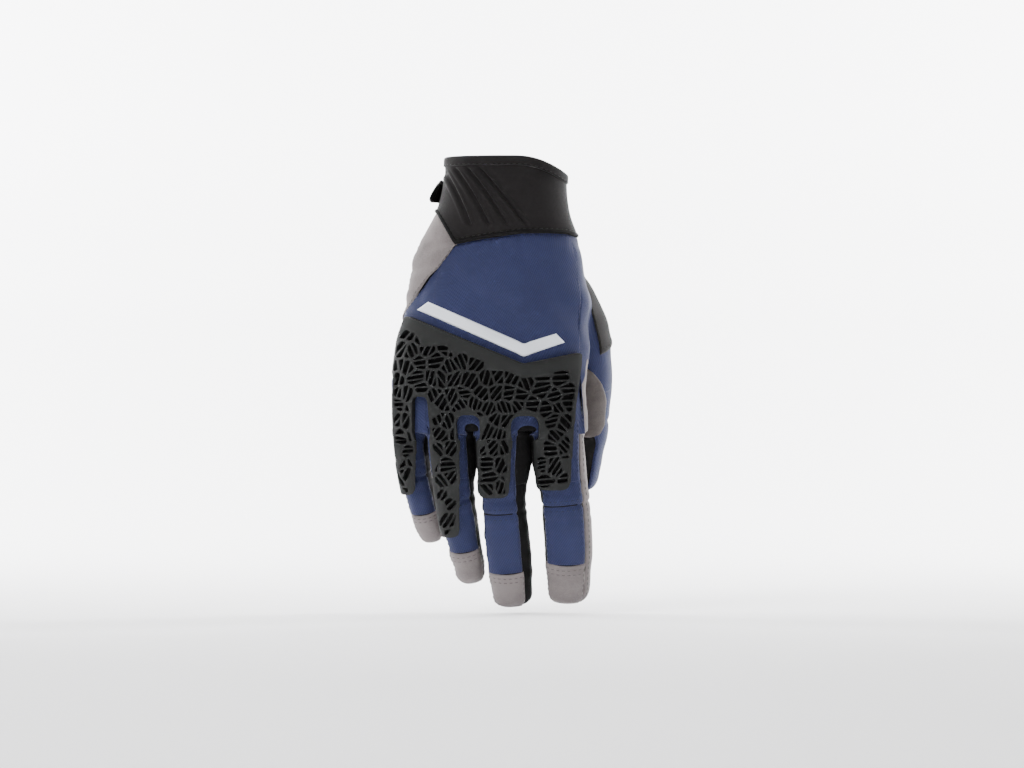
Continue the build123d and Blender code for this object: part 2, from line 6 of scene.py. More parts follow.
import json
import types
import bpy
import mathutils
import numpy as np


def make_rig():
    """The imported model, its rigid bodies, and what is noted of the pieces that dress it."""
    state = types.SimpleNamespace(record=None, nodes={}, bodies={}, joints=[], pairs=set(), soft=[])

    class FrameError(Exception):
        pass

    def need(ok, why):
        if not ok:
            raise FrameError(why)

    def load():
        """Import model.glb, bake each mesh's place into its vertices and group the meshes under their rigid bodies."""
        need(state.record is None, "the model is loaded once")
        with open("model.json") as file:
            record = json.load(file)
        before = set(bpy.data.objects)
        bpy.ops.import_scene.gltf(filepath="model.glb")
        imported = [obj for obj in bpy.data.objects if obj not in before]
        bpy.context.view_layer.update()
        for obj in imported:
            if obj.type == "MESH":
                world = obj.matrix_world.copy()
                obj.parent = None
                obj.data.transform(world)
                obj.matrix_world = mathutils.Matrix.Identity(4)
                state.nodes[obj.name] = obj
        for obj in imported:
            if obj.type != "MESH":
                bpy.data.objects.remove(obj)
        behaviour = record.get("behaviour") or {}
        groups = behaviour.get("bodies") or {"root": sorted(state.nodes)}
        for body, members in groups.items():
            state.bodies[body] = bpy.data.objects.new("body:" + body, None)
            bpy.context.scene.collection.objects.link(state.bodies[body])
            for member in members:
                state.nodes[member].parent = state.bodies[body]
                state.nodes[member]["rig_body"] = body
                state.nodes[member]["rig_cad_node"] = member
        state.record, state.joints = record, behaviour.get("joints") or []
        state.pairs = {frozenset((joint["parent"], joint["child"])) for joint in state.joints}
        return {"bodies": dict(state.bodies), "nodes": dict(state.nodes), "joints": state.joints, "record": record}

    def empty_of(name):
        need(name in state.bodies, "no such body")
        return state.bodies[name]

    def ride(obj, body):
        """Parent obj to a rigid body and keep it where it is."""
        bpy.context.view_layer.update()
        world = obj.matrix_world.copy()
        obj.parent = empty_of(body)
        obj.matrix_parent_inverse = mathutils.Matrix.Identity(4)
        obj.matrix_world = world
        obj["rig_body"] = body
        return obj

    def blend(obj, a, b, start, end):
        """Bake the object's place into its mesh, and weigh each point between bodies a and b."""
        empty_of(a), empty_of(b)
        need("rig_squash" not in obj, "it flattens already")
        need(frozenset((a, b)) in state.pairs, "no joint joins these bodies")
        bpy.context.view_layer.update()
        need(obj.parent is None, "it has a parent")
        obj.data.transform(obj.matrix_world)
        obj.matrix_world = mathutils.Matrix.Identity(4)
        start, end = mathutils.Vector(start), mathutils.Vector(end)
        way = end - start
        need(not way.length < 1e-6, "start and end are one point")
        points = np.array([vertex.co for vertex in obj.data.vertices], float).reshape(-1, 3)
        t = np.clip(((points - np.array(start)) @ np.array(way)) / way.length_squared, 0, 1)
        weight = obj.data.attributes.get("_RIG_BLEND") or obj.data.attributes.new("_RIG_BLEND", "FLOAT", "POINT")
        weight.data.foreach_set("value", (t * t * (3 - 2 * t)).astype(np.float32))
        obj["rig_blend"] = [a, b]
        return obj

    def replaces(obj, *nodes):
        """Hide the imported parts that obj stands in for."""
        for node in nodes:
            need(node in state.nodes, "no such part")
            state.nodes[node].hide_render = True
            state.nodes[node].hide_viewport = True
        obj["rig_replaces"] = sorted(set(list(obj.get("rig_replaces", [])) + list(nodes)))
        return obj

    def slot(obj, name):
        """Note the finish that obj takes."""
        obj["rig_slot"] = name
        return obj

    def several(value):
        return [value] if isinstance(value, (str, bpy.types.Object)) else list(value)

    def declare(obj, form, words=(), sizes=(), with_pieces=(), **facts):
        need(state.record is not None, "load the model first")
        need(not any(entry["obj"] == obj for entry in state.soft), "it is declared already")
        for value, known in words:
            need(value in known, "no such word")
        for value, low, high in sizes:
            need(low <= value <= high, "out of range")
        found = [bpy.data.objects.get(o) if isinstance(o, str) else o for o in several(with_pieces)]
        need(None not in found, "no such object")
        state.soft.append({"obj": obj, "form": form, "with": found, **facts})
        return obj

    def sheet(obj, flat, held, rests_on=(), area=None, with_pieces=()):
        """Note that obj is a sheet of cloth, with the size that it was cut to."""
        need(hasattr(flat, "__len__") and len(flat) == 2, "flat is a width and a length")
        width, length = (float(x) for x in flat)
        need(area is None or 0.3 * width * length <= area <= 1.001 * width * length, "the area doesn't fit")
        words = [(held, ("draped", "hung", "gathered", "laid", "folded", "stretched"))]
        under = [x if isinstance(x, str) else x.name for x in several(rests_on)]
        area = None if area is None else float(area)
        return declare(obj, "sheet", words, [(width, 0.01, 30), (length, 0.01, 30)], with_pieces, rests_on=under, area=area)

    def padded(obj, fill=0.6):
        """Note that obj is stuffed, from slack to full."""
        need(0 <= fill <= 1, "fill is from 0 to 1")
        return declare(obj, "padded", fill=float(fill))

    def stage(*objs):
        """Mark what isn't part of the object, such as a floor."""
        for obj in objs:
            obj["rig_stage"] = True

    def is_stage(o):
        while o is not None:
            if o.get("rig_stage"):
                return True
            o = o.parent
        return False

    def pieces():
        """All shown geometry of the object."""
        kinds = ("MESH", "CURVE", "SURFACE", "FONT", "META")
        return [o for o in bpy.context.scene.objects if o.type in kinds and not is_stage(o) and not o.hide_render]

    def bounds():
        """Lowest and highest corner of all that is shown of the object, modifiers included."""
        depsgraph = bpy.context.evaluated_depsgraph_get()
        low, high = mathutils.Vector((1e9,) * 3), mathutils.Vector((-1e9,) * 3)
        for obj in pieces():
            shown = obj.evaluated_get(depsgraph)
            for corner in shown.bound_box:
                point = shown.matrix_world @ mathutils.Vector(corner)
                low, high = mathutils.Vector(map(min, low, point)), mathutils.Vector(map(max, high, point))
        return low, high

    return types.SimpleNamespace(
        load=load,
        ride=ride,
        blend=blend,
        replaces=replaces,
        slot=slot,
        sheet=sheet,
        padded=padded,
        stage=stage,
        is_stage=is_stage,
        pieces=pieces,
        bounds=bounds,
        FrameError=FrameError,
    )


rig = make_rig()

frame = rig.load()

import json
import logging
import math
import random
from dataclasses import dataclass
from enum import Enum
from typing import Callable, Iterable, Sequence

import bpy
import numpy as np
from mathutils import Vector, noise
from mathutils.bvhtree import BVHTree
from mathutils.geometry import delaunay_2d_cdt

CAD_BOX = [list(corner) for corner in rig.bounds()]
MM = 0.001
FULLEST = 1.25  # largest share of the palm's own radius that a panel stands at
log = logging.getLogger("glove")

Piece = bpy.types.Object
Point = tuple[float, float]
Triple = tuple[float, float, float]
Size = tuple[int, int]
Face = tuple[int, ...]
Place = tuple[Vector, Vector]
Ray = tuple[Vector, Vector, float]
Edge = Callable[[float, float], float]
Lift = Callable[[float, float, Vector], float]
Flat = tuple[np.ndarray, dict[str, list[Face]]]


# ---------------------------------------------------------------------------------- node helpers
class Value:
    """A shader socket that takes part in arithmetic."""

    def __init__(self, tree: "NodeTree", socket) -> None:
        """Wraps one output socket of a node tree."""
        self.tree = tree
        self.socket = socket

    def _math(self, operation: str, *values) -> "Value":
        """Adds a Math node of that operation on the given values."""
        return self.tree.node("ShaderNodeMath", {"operation": operation}, dict(enumerate(values)))

    def __add__(self, other) -> "Value":
        """Sum."""
        return self._math("ADD", self, other)

    def __mul__(self, other) -> "Value":
        """Product."""
        return self._math("MULTIPLY", self, other)

    def sine(self) -> "Value":
        """Sine of the value."""
        return self._math("SINE", self)

    def size(self) -> "Value":
        """Absolute value."""
        return self._math("ABSOLUTE", self)

    def least(self, other) -> "Value":
        """Smaller of two values."""
        return self._math("MINIMUM", self, other)


class NodeTree:
    """One material's node tree, built by a single node-making method."""

    def __init__(self, name: str) -> None:
        """Starts an empty material of that name."""
        self.material = bpy.data.materials.new(f"{name}_look")
        self.material.use_nodes = True
        self.nodes = self.material.node_tree.nodes
        self.links = self.material.node_tree.links
        self.nodes.clear()

    def node(self, kind: str, settings: dict | None = None, inputs: dict | None = None,
             output: int | str = 0) -> Value:
        """Adds a node.

        Args:
            kind: The node's type name.
            settings: Attributes set first, with "stops" for a ramp's (place, grey) pairs.
            inputs: Values or links by socket name or number.
            output: The output socket to return.

        Returns:
            The chosen output as a Value.
        """
        made = self.nodes.new(kind)
        for key, setting in (settings or {}).items():
            if key == "stops":
                ramp = made.color_ramp
                while len(ramp.elements) < len(setting):
                    ramp.elements.new(1.0)
                for element, (place, grey) in zip(ramp.elements, setting):
                    element.position = place
                    element.color = (grey, grey, grey, 1.0)
            else:
                setattr(made, key, setting)
        for key, value in (inputs or {}).items():
            socket = made.inputs[key]
            if isinstance(value, Value):
                self.links.new(value.socket, socket)
            else:
                socket.default_value = value
        return Value(self, made.outputs[output])

    def split(self, vector: Value) -> tuple[Value, Value, Value]:
        """The three parts of a vector."""
        made = self.nodes.new("ShaderNodeSeparateXYZ")
        self.links.new(vector.socket, made.inputs[0])
        return tuple(Value(self, socket) for socket in made.outputs)

    def object_place(self) -> Value:
        """Object coordinates, in metres."""
        return self.node("ShaderNodeTexCoord", output="Object")

    def cloth_place(self) -> Value:
        """The piece's own cloth map, in millimetres along the cloth."""
        return self.node("ShaderNodeUVMap", {"uv_map": "cloth"})

    def noise(self, place: Value, scale: float, detail: float = 3.0, rough: float = 0.55) -> Value:
        """Noise of about 0 to 1 at that scale."""
        return self.node("ShaderNodeTexNoise", {"noise_dimensions": "3D"},
                         {"Vector": place, "Scale": scale, "Detail": detail, "Roughness": rough})

    def ramp(self, value: Value, *stops: Point) -> Value:
        """Grey value read off stops of (place, grey)."""
        return self.node("ShaderNodeValToRGB", {"stops": stops}, {"Fac": value})

    def mix(self, share, low: Sequence[float] | Value, high: Sequence[float] | Value) -> Value:
        """Colour between low and high."""
        pair = [c if isinstance(c, Value) else (*c, 1.0) for c in (low, high)]
        return self.node("ShaderNodeMix", {"data_type": "RGBA"},
                         {"Factor": share, 6: pair[0], 7: pair[1]}, output=2)

    def bump(self, height: Value, strength: float, distance: float) -> Value:
        """Normal raised by height, with distance in metres."""
        return self.node("ShaderNodeBump", None,
                         {"Height": height, "Strength": strength, "Distance": distance}, output="Normal")

    def finish(self, color, roughness, normal: Value | None = None, **fixed: float) -> bpy.types.Material:
        """Ends the material in one Principled shader; fixed holds its constant sockets."""
        inputs = {"Base Color": color if isinstance(color, Value) else (*color, 1.0), "Roughness": roughness}
        if normal is not None:
            inputs["Normal"] = normal
        inputs.update({key.replace("_", " "): value for key, value in fixed.items()})
        shader = self.node("ShaderNodeBsdfPrincipled", None, inputs)
        out = self.nodes.new("ShaderNodeOutputMaterial")
        self.links.new(shader.socket, out.inputs["Surface"])
        return self.material


def shade(rgb: Sequence[float], factor: float) -> tuple[float, ...]:
    """A colour made lighter or darker by factor."""
    return tuple(min(1.0, part * factor) for part in rgb)


@dataclass(frozen=True)
class StretchTwill:
    """Four-way stretch cloth: fine diagonal ribs, heathered yarn, soft sheen."""

    name: str
    color: tuple[float, float, float]
    rib: float = 1.05  # millimetres between ribs
    heather: float = 0.30
    sheen: float = 0.25

    def material(self) -> bpy.types.Material:
        """Builds the material."""
        tree = NodeTree(self.name)
        u, v, _ = tree.split(tree.cloth_place())
        turn = 2 * math.pi / self.rib
        ribs = ((u * 0.82 + v * 0.57) * turn).sine() * 0.5 + 0.5
        picks = ((u * -0.57 + v * 0.82) * (turn * 0.8)).sine() * 0.5 + 0.5
        place = tree.object_place()
        yarn = tree.noise(place, 900.0, 2.0)
        cloudy = tree.noise(place, 38.0, 3.0)
        share = ribs * 0.35 + yarn * self.heather + cloudy * 0.35
        color = tree.mix(share.least(1.0), shade(self.color, 0.58), shade(self.color, 1.52))
        height = ribs * 0.6 + picks * 0.25 + yarn * 0.3
        normal = tree.bump(height, 0.55, 0.00022)
        return tree.finish(color, tree.ramp(yarn, (0.2, 0.70), (0.8, 0.86)), normal,
                           Sheen_Weight=self.sheen, Sheen_Roughness=0.5, Specular_IOR_Level=0.2)


@dataclass(frozen=True)
class Suede:
    """Synthetic suede: short nap brushed in patches, darker where it is rubbed."""

    name: str
    color: tuple[float, float, float]
    mottle: float = 0.5
    sheen: float = 0.3

    def material(self) -> bpy.types.Material:
        """Builds the material."""
        tree = NodeTree(self.name)
        place = tree.object_place()
        nap = tree.noise(place, 1500.0, 3.0, 0.7)
        brushed = tree.noise(place, 85.0, 4.0, 0.6)
        worn = tree.noise(place, 26.0, 2.0)
        share = brushed * self.mottle + nap * 0.35 + worn * (0.65 - self.mottle * 0.5)
        depth = tree.ramp(share, (0.30, 0.0), (0.72, 1.0))
        color = tree.mix(depth, shade(self.color, 0.56), shade(self.color, 1.34))
        normal = tree.bump(nap * 0.6 + brushed * 0.7, 0.5, 0.0004)
        return tree.finish(color, tree.ramp(brushed, (0.2, 0.82), (0.8, 0.95)), normal,
                           Sheen_Weight=self.sheen, Sheen_Roughness=0.6, Specular_IOR_Level=0.2)


@dataclass(frozen=True)
class Knit:
    """Close knit: rows of small loops, for side strips, neoprene face and pile."""

    name: str
    color: tuple[float, float, float]
    loop: float = 0.55  # millimetres
    depth: float = 0.00010
    sheen: float = 0.15

    def material(self) -> bpy.types.Material:
        """Builds the material."""
        tree = NodeTree(self.name)
        u, v, _ = tree.split(tree.cloth_place())
        turn = 2 * math.pi / self.loop
        columns = (u * turn).sine().size()
        rows = ((v * turn + (u * turn).sine() * 1.2).sine()) * 0.5 + 0.5
        place = tree.object_place()
        fuzz = tree.noise(place, 700.0, 2.0)
        cloudy = tree.noise(place, 45.0, 3.0)
        height = columns * 0.6 + rows * 0.5 + fuzz * 0.25
        share = (height * 0.4 + cloudy * 0.6).least(1.0)
        color = tree.mix(share, shade(self.color, 0.7), shade(self.color, 1.5))
        normal = tree.bump(height, 0.4, self.depth)
        return tree.finish(color, tree.ramp(fuzz, (0.2, 0.72), (0.8, 0.88)), normal,
                           Sheen_Weight=self.sheen, Sheen_Roughness=0.5, Specular_IOR_Level=0.12)


@dataclass(frozen=True)
class Rubber:
    """Moulded matte rubber with a faint spark-eroded grain."""

    name: str
    color: tuple[float, float, float]
    gloss: float = 0.55

    def material(self) -> bpy.types.Material:
        """Builds the material."""
        tree = NodeTree(self.name)
        place = tree.object_place()
        grain = tree.noise(place, 2400.0, 2.0)
        flow = tree.noise(place, 60.0, 3.0)
        color = tree.mix(flow, shade(self.color, 0.85), shade(self.color, 1.2))
        rough = flow * 0.16 + grain * 0.08 + (self.gloss - 0.10)
        return tree.finish(color, rough, tree.bump(grain, 0.2, 0.00006), Specular_IOR_Level=0.17)


@dataclass(frozen=True)
class BeadedFilm:
    """Retroreflective transfer film: silver, closely beaded, a little scuffed."""

    name: str
    color: tuple[float, float, float]

    def material(self) -> bpy.types.Material:
        """Builds the material."""
        tree = NodeTree(self.name)
        place = tree.object_place()
        beads = tree.node("ShaderNodeTexVoronoi", {"feature": "F1"}, {"Vector": place, "Scale": 2600.0})
        scuff = tree.noise(place, 160.0, 4.0)
        cloudy = tree.noise(place, 30.0, 2.0)
        share = (scuff * 0.5 + cloudy * 0.5).least(1.0)
        color = tree.mix(share, shade(self.color, 0.86), shade(self.color, 1.08))
        return tree.finish(color, tree.ramp(scuff, (0.3, 0.38), (0.7, 0.55)), tree.bump(beads, 0.25, 0.00005),
                           Metallic=0.25, Specular_IOR_Level=0.5)


@dataclass(frozen=True)
class Thread:
    """Sewing thread with its twist."""

    name: str
    color: tuple[float, float, float]

    def material(self) -> bpy.types.Material:
        """Builds the material."""
        tree = NodeTree(self.name)
        place = tree.object_place()
        x, y, z = tree.split(place)
        twist = ((x + y + z) * 9000.0).sine() * 0.5 + 0.5
        color = tree.mix(twist, shade(self.color, 0.7), shade(self.color, 1.3))
        return tree.finish(color, 0.6, tree.bump(twist, 0.3, 0.00005), Specular_IOR_Level=0.15)


class Finish(Enum):
    """The glove's finishes."""

    BLUE = StretchTwill("blue_stretch_twill", (0.0128, 0.0166, 0.0525), sheen=0.07)
    GREY = Suede("grey_suede", (0.112, 0.098, 0.097), sheen=0.08)
    # Grey suede for the patches, darkened to a shaded tone: its very dark colour is painted shade.
    DARK_GREY = Suede("dark_suede", (0.0125, 0.0115, 0.0115), 0.35, 0.02)
    OVAL = Suede("brown_grey_suede", (0.050, 0.043, 0.041), 0.8, 0.05)
    BLACK = Knit("black_stretch_knit", (0.0030, 0.0028, 0.0030), sheen=0.0)
    NEOPRENE = Knit("neoprene_face", (0.0062, 0.0054, 0.0056), 0.42, 0.00006, 0.04)
    RUBBER = Rubber("guard_rubber", (0.0094, 0.0100, 0.0098))
    TAB = Rubber("tab_rubber", (0.006, 0.006, 0.006), 0.5)
    SILVER = BeadedFilm("reflective_film", (0.68, 0.71, 0.76))
    PILE = Knit("loop_pile", (0.006, 0.006, 0.006), 0.9, 0.0003, 0.2)
    HOOKS = Knit("hook_tape", (0.006, 0.006, 0.0065), 1.1, 0.0004, 0.0)
    BLUE_THREAD = Thread("blue_thread", (0.010, 0.014, 0.036))
    DARK_THREAD = Thread("dark_thread", (0.007, 0.0065, 0.0065))
    GREY_THREAD = Thread("grey_thread", (0.075, 0.068, 0.066))

    def dress(self, piece: Piece) -> None:
        """Gives a piece this finish as its only material."""
        made = bpy.data.materials.get(f"{self.value.name}_look") or self.value.material()
        piece.data.materials.clear()
        piece.data.materials.append(made)


@dataclass(frozen=True)
class Cloth:
    """A material as it is cut: finish, slot, thickness in millimetres and the thread it is sewn with."""

    finish: Finish
    slot: str
    thick: float
    thread: Finish = Finish.DARK_THREAD


STRETCH = Cloth(Finish.BLUE, "back_stretch", 0.8, Finish.BLUE_THREAD)
SUEDE = Cloth(Finish.GREY, "palm_suede", 1.0, Finish.GREY_THREAD)
TIP_SUEDE = Cloth(Finish.GREY, "patch_suede", 1.0, Finish.GREY_THREAD)
# Patch cloth in the grey suede whose very dark colour is painted shade.
DARK_SUEDE = Cloth(Finish.DARK_GREY, "patch_suede", 0.9)
OVAL_SUEDE = Cloth(Finish.OVAL, "patch_suede", 0.9)
CORE = Cloth(Finish.BLACK, "side_stretch", 0.9)
FILM = Cloth(Finish.SILVER, "reflective_film", 0.7)
NEOPRENE = Cloth(Finish.NEOPRENE, "cuff_neoprene", 2.2)
BINDING = Cloth(Finish.NEOPRENE, "cuff_neoprene", 1.4)
PILE = Cloth(Finish.PILE, "loop_pile", 0.7)
HOOKS = Cloth(Finish.HOOKS, "hook_tape", 0.7)
TAB = Cloth(Finish.TAB, "tab_rubber", 1.5)


# ---------------------------------------------------------------------------------- measures
def ease(x: float, low: float, high: float) -> float:
    """Smooth step from 0 at low to 1 at high."""
    t = min(1.0, max(0.0, (x - low) / (high - low)))
    return t * t * (3 - 2 * t)


def on_line(points: Sequence[Point], x: float) -> float:
    """Height of a polyline of (x, height) points at x."""
    ordered = sorted(points)
    return float(np.interp(x, [p[0] for p in ordered], [p[1] for p in ordered]))


def superellipse(across: float, out: float, power: float) -> float:
    """Radius of a squared-off circle of size 1, in the direction of two parts."""
    return (abs(across) ** power + abs(out) ** power) ** (-1 / power)


def ripple(place: Vector, wave: float, slant: float, seed: float = 0.0) -> float:
    """Soft, irregular folds of about -1 to 1 that run along a slanted line.

    Args:
        place: Where, in millimetres.
        wave: Distance between folds.
        slant: Angle of the folds to the horizontal, in degrees, seen from the back of the hand.
        seed: Shifts the pattern.

    Returns:
        The height of the fold.
    """
    angle = math.radians(slant)
    along = place.x * math.cos(angle) + place.z * math.sin(angle)
    across = -place.x * math.sin(angle) + place.z * math.cos(angle)
    return noise.noise(Vector((along / (wave * 3.2), across / wave, place.y / (wave * 2.5) + seed))) * 1.8


@dataclass(frozen=True)
class Digit:
    """A finger or the thumb: its bone, girth and where its panels end, in millimetres and degrees."""

    name: str
    bone: tuple[Triple, ...]
    half_widths: tuple[float, ...]
    half_depths: tuple[float, ...]
    turn: float
    hinges: tuple[int, int] = (1, 2)
    tip_patch: float = 20.0
    seams: Point = (-70.0, 58.0)
    palm_seam: float = 118.0
    fullness: Point = (0.0, 0.0)
    full_from: float = -122.0
    strip_top: float = -134.0
    root_spread: Point = (-5.0, 20.0)

    def samples(self) -> tuple[np.ndarray, np.ndarray]:
        """Dense points down the bone to the tip, with half width and depth, by arc length.

        Returns:
            The distances from the root, and rows of x, y, z, half width, half depth.
        """
        rows = np.array([[*b, w, d] for b, w, d in zip(self.bone, self.half_widths, self.half_depths)])
        out = (rows[-1, :3] - rows[-2, :3]) / np.linalg.norm(rows[-1, :3] - rows[-2, :3])
        last = np.concatenate([rows[-1, :3] + out * rows[-1, 4], rows[-1, 3:] * (0.99, 0.97)])
        rows = np.vstack([rows, last])
        path = np.vstack([2 * rows[0] - rows[1], rows, 2 * rows[-1] - rows[-2]])
        made = []
        for i in range(1, len(path) - 2):
            a, b, c, d = path[i - 1:i + 3]
            for t in np.linspace(0, 1, 24, endpoint=False):
                made.append(0.5 * (2 * b + (c - a) * t + (2 * a - 5 * b + 4 * c - d) * t * t
                                   + (3 * b - a - 3 * c + d) * t ** 3))
        made.append(path[-2])
        line = np.array(made)
        steps = np.linalg.norm(np.diff(line[:, :3], axis=0), axis=1)
        return np.concatenate([[0.0], np.cumsum(steps)]), line


class Tube:
    """A digit's skin: any point on it by distance down the bone and angle round it."""

    square = 2.3
    end_round = 9.0  # length of the rounded end
    end_square = 2.7
    end_least = 0.02  # least share of the radius at the very end

    def __init__(self, digit: Digit) -> None:
        """Works out the digit's dense bone line once."""
        self.digit = digit
        self.run, self.line = digit.samples()
        self.length = float(self.run[-1])
        self.hinges = [self.where(digit.bone[i]) for i in digit.hinges]

    def where(self, point: Sequence[float]) -> float:
        """Distance down the bone of the point nearest to the given one."""
        gap = np.linalg.norm(self.line[:, :3] - np.array(point), axis=1)
        return float(self.run[int(np.argmin(gap))])

    def at_height(self, z: float) -> float:
        """Distance down the bone where it passes height z."""
        heights = self.line[:, 2]
        return float(np.interp(-z, -heights, self.run))

    def _row(self, s: float, count: int) -> list[float]:
        """The first values of the bone line at a distance down the bone."""
        return [float(np.interp(s, self.run, self.line[:, i])) for i in range(count)]

    def frame(self, s: float) -> tuple[Vector, Vector, Vector, float, float]:
        """Centre, sideways, palmward, half width and half depth at a distance down the bone."""
        row = self._row(s, 5)
        near, far = (Vector(self._row(place, 3)) for place in (max(0.0, s - 2.0), min(self.length, s + 2.0)))
        up = (near - far).normalized()
        turn = math.radians(self.digit.turn)
        side = Vector((math.sin(turn), math.cos(turn), 0)).cross(up).normalized()
        return Vector(row[:3]), side, up.cross(side), row[3], row[4]

    def ray(self, s: float, angle: float) -> Ray:
        """Centre, outward direction and own radius; angle 0 is the back, 90 sideways, 180 the palm."""
        centre, side, palm, width, depth = self.frame(s)
        turn = math.radians(angle)
        across, back = math.sin(turn), -math.cos(turn)
        radius = superellipse(across / width, back / depth, self.square)
        left = min(1.0, max(0.0, (self.length - s) / self.end_round))
        taper = max(self.end_least, (1 - (1 - left) ** self.end_square) ** (1 / self.end_square))
        return centre, side * across + palm * back, radius * taper


@dataclass(frozen=True)
class Palm:
    """Stations of the palm: height, centre x, half width, back depth, palm depth, arch."""

    stations: tuple[tuple[float, ...], ...] = (
        (6, 0, 30, 22, 22, 0), (0, 0, 30, 22, 22, 0), (-12, -0.8, 29.8, 21.4, 21.4, 0),
        (-24, -1.6, 31.4, 21, 21, 0), (-36, -3.2, 36, 20.5, 21.4, 0.0004),
        (-43, -3.6, 40.2, 20.2, 21.7, 0.0007), (-62, -5.2, 44.6, 19, 22, 0.0015),
        (-74, -5.6, 45.2, 18.3, 20.8, 0.0018), (-86, -6.6, 47.6, 17.6, 19.6, 0.0020),
        (-110, -8, 49.3, 16, 16.5, 0.0024), (-139.5, -8.2, 49.2, 11.8, 12.4, 0.0024),
        (-150, -8.2, 49.0, 10.5, 11, 0.0024))
    square: float = 2.35
    bow_centre: float = 5.0
    lean: float = 500.0
    averaged: tuple[int, ...] = (-6, -3, 0, 3, 6)

    def at(self, z: float) -> tuple[float, ...]:
        """Centre x, half width, back depth, palm depth and arch at a height."""
        heights = [-row[0] for row in self.stations]
        values = []
        for i in range(1, 6):
            column = [row[i] for row in self.stations]
            spread = [float(np.interp(-z + d, heights, column)) for d in self.averaged]
            values.append(sum(spread) / len(spread))
        return tuple(values)

    def ray(self, t: float, z: float) -> Ray:
        """Centre, outward direction and own radius; t is 0 at the back, 90 at the thumb, 180 at the palm."""
        centre, width, back, palm, arch = self.at(z)
        turn = math.radians(t)
        depth = back if math.cos(turn) > 0 else palm
        across, out = width * math.sin(turn), -depth * math.cos(turn)
        stretch = superellipse(math.sin(turn), math.cos(turn), self.square)
        bow = arch * (centre + across - self.bow_centre) ** 2
        lean = arch * self.lean
        way = Vector((across * stretch, out * stretch + bow - lean, 0))
        return Vector((centre, lean, z)), way.normalized(), way.length

    def turn_at(self, x: float, z: float) -> float:
        """The t on the back of the hand that lies at x."""
        centre, width, *_ = self.at(z)
        share = max(-0.999, min(0.999, (x - centre) / width))
        low, high = -90.0, 90.0
        for _ in range(24):
            middle = (low + high) / 2
            turn = math.radians(middle)
            reached = math.sin(turn) * superellipse(math.sin(turn), math.cos(turn), self.square)
            low, high = (middle, high) if reached < share else (low, middle)
        return (low + high) / 2


INDEX = Digit(
    "index", ((25.6, .4, -122), (26.8, 1.4, -151), (29.6, 6, -176), (31.2, 13.4, -202), (31.2, 19.4, -219.5)),
    (12.6, 12.8, 12.7, 12.5, 11.2), (10.8, 10.8, 10.4, 9.6, 8.8), 0, tip_patch=25, seams=(-66, 51),
    fullness=(3.0, 0.0), root_spread=(2.5, 9.0))
MIDDLE = Digit(
    "middle", ((-5.2, -.4, -122), (-3.2, .8, -151), (-1, 5.8, -180), (1.2, 13, -205), (2.8, 18.4, -220.5)),
    (12.2, 12.2, 12, 12.2, 11), (11, 11, 10.8, 10.2, 9.4), 2, tip_patch=22.5, seams=(-68, 38),
    fullness=(1.8, 4.6), root_spread=(2.0, 10.0))
RING = Digit(
    "ring", ((-30.4, 2.2, -121), (-29, 4.2, -150), (-26, 10, -173), (-21.7, 18.6, -197), (-19, 24, -209.5)),
    (10.8, 10.8, 10.2, 9.1, 8.2), (10.2, 10.2, 9.8, 9.2, 8.6), 4, tip_patch=22, seams=(-70, 53),
    fullness=(1.0, 3.6), root_spread=(-5.0, 2.0))
LITTLE = Digit(
    "little",
    ((-50.4, 8.6, -112), (-49.2, 11.8, -142), (-46.4, 18.4, -161), (-42.3, 26, -179.5), (-39.5, 30, -190)),
    (8.6, 8.4, 8.2, 7.8, 7.2), (8.6, 8.6, 8.4, 8, 7.4), 8, tip_patch=20, seams=(-74, 50),
    fullness=(0.0, 2.4), full_from=-112.0, strip_top=-126.0)
THUMB = Digit(
    "thumb",
    ((17, 5, -52), (33, 16.5, -78), (41.3, 24.5, -100), (41.2, 35, -134), (39, 41, -152), (38, 43.5, -161)),
    (13, 14.5, 12.8, 11.4, 11, 10), (12, 13.2, 12.2, 11.2, 10.6, 9.8), -70, hinges=(2, 3), seams=(-70, 78))
FINGERS = (INDEX, MIDDLE, RING, LITTLE)

ARCHES = ((10.4, -136.6, 5.2), (-17.9, -135.6, 4.0), (-40.2, -137.0, 1.0))
CUFF_SEAM = ((-90, -10), (-38, -25), (-34.5, -28.5), (-25.5, -44.4), (-10.7, -41.6), (7, -39), (20, -38.7),
             (30, -39), (36, -40.6), (90, -43))
HEEL_SEAM = ((-90, -127), (-49, -75), (-25.5, -44.5))
GUARD_TOP = ((-90, -70), (-49.4, -80.8), (8.3, -105.1), (36.2, -99.4), (60, -99.4))


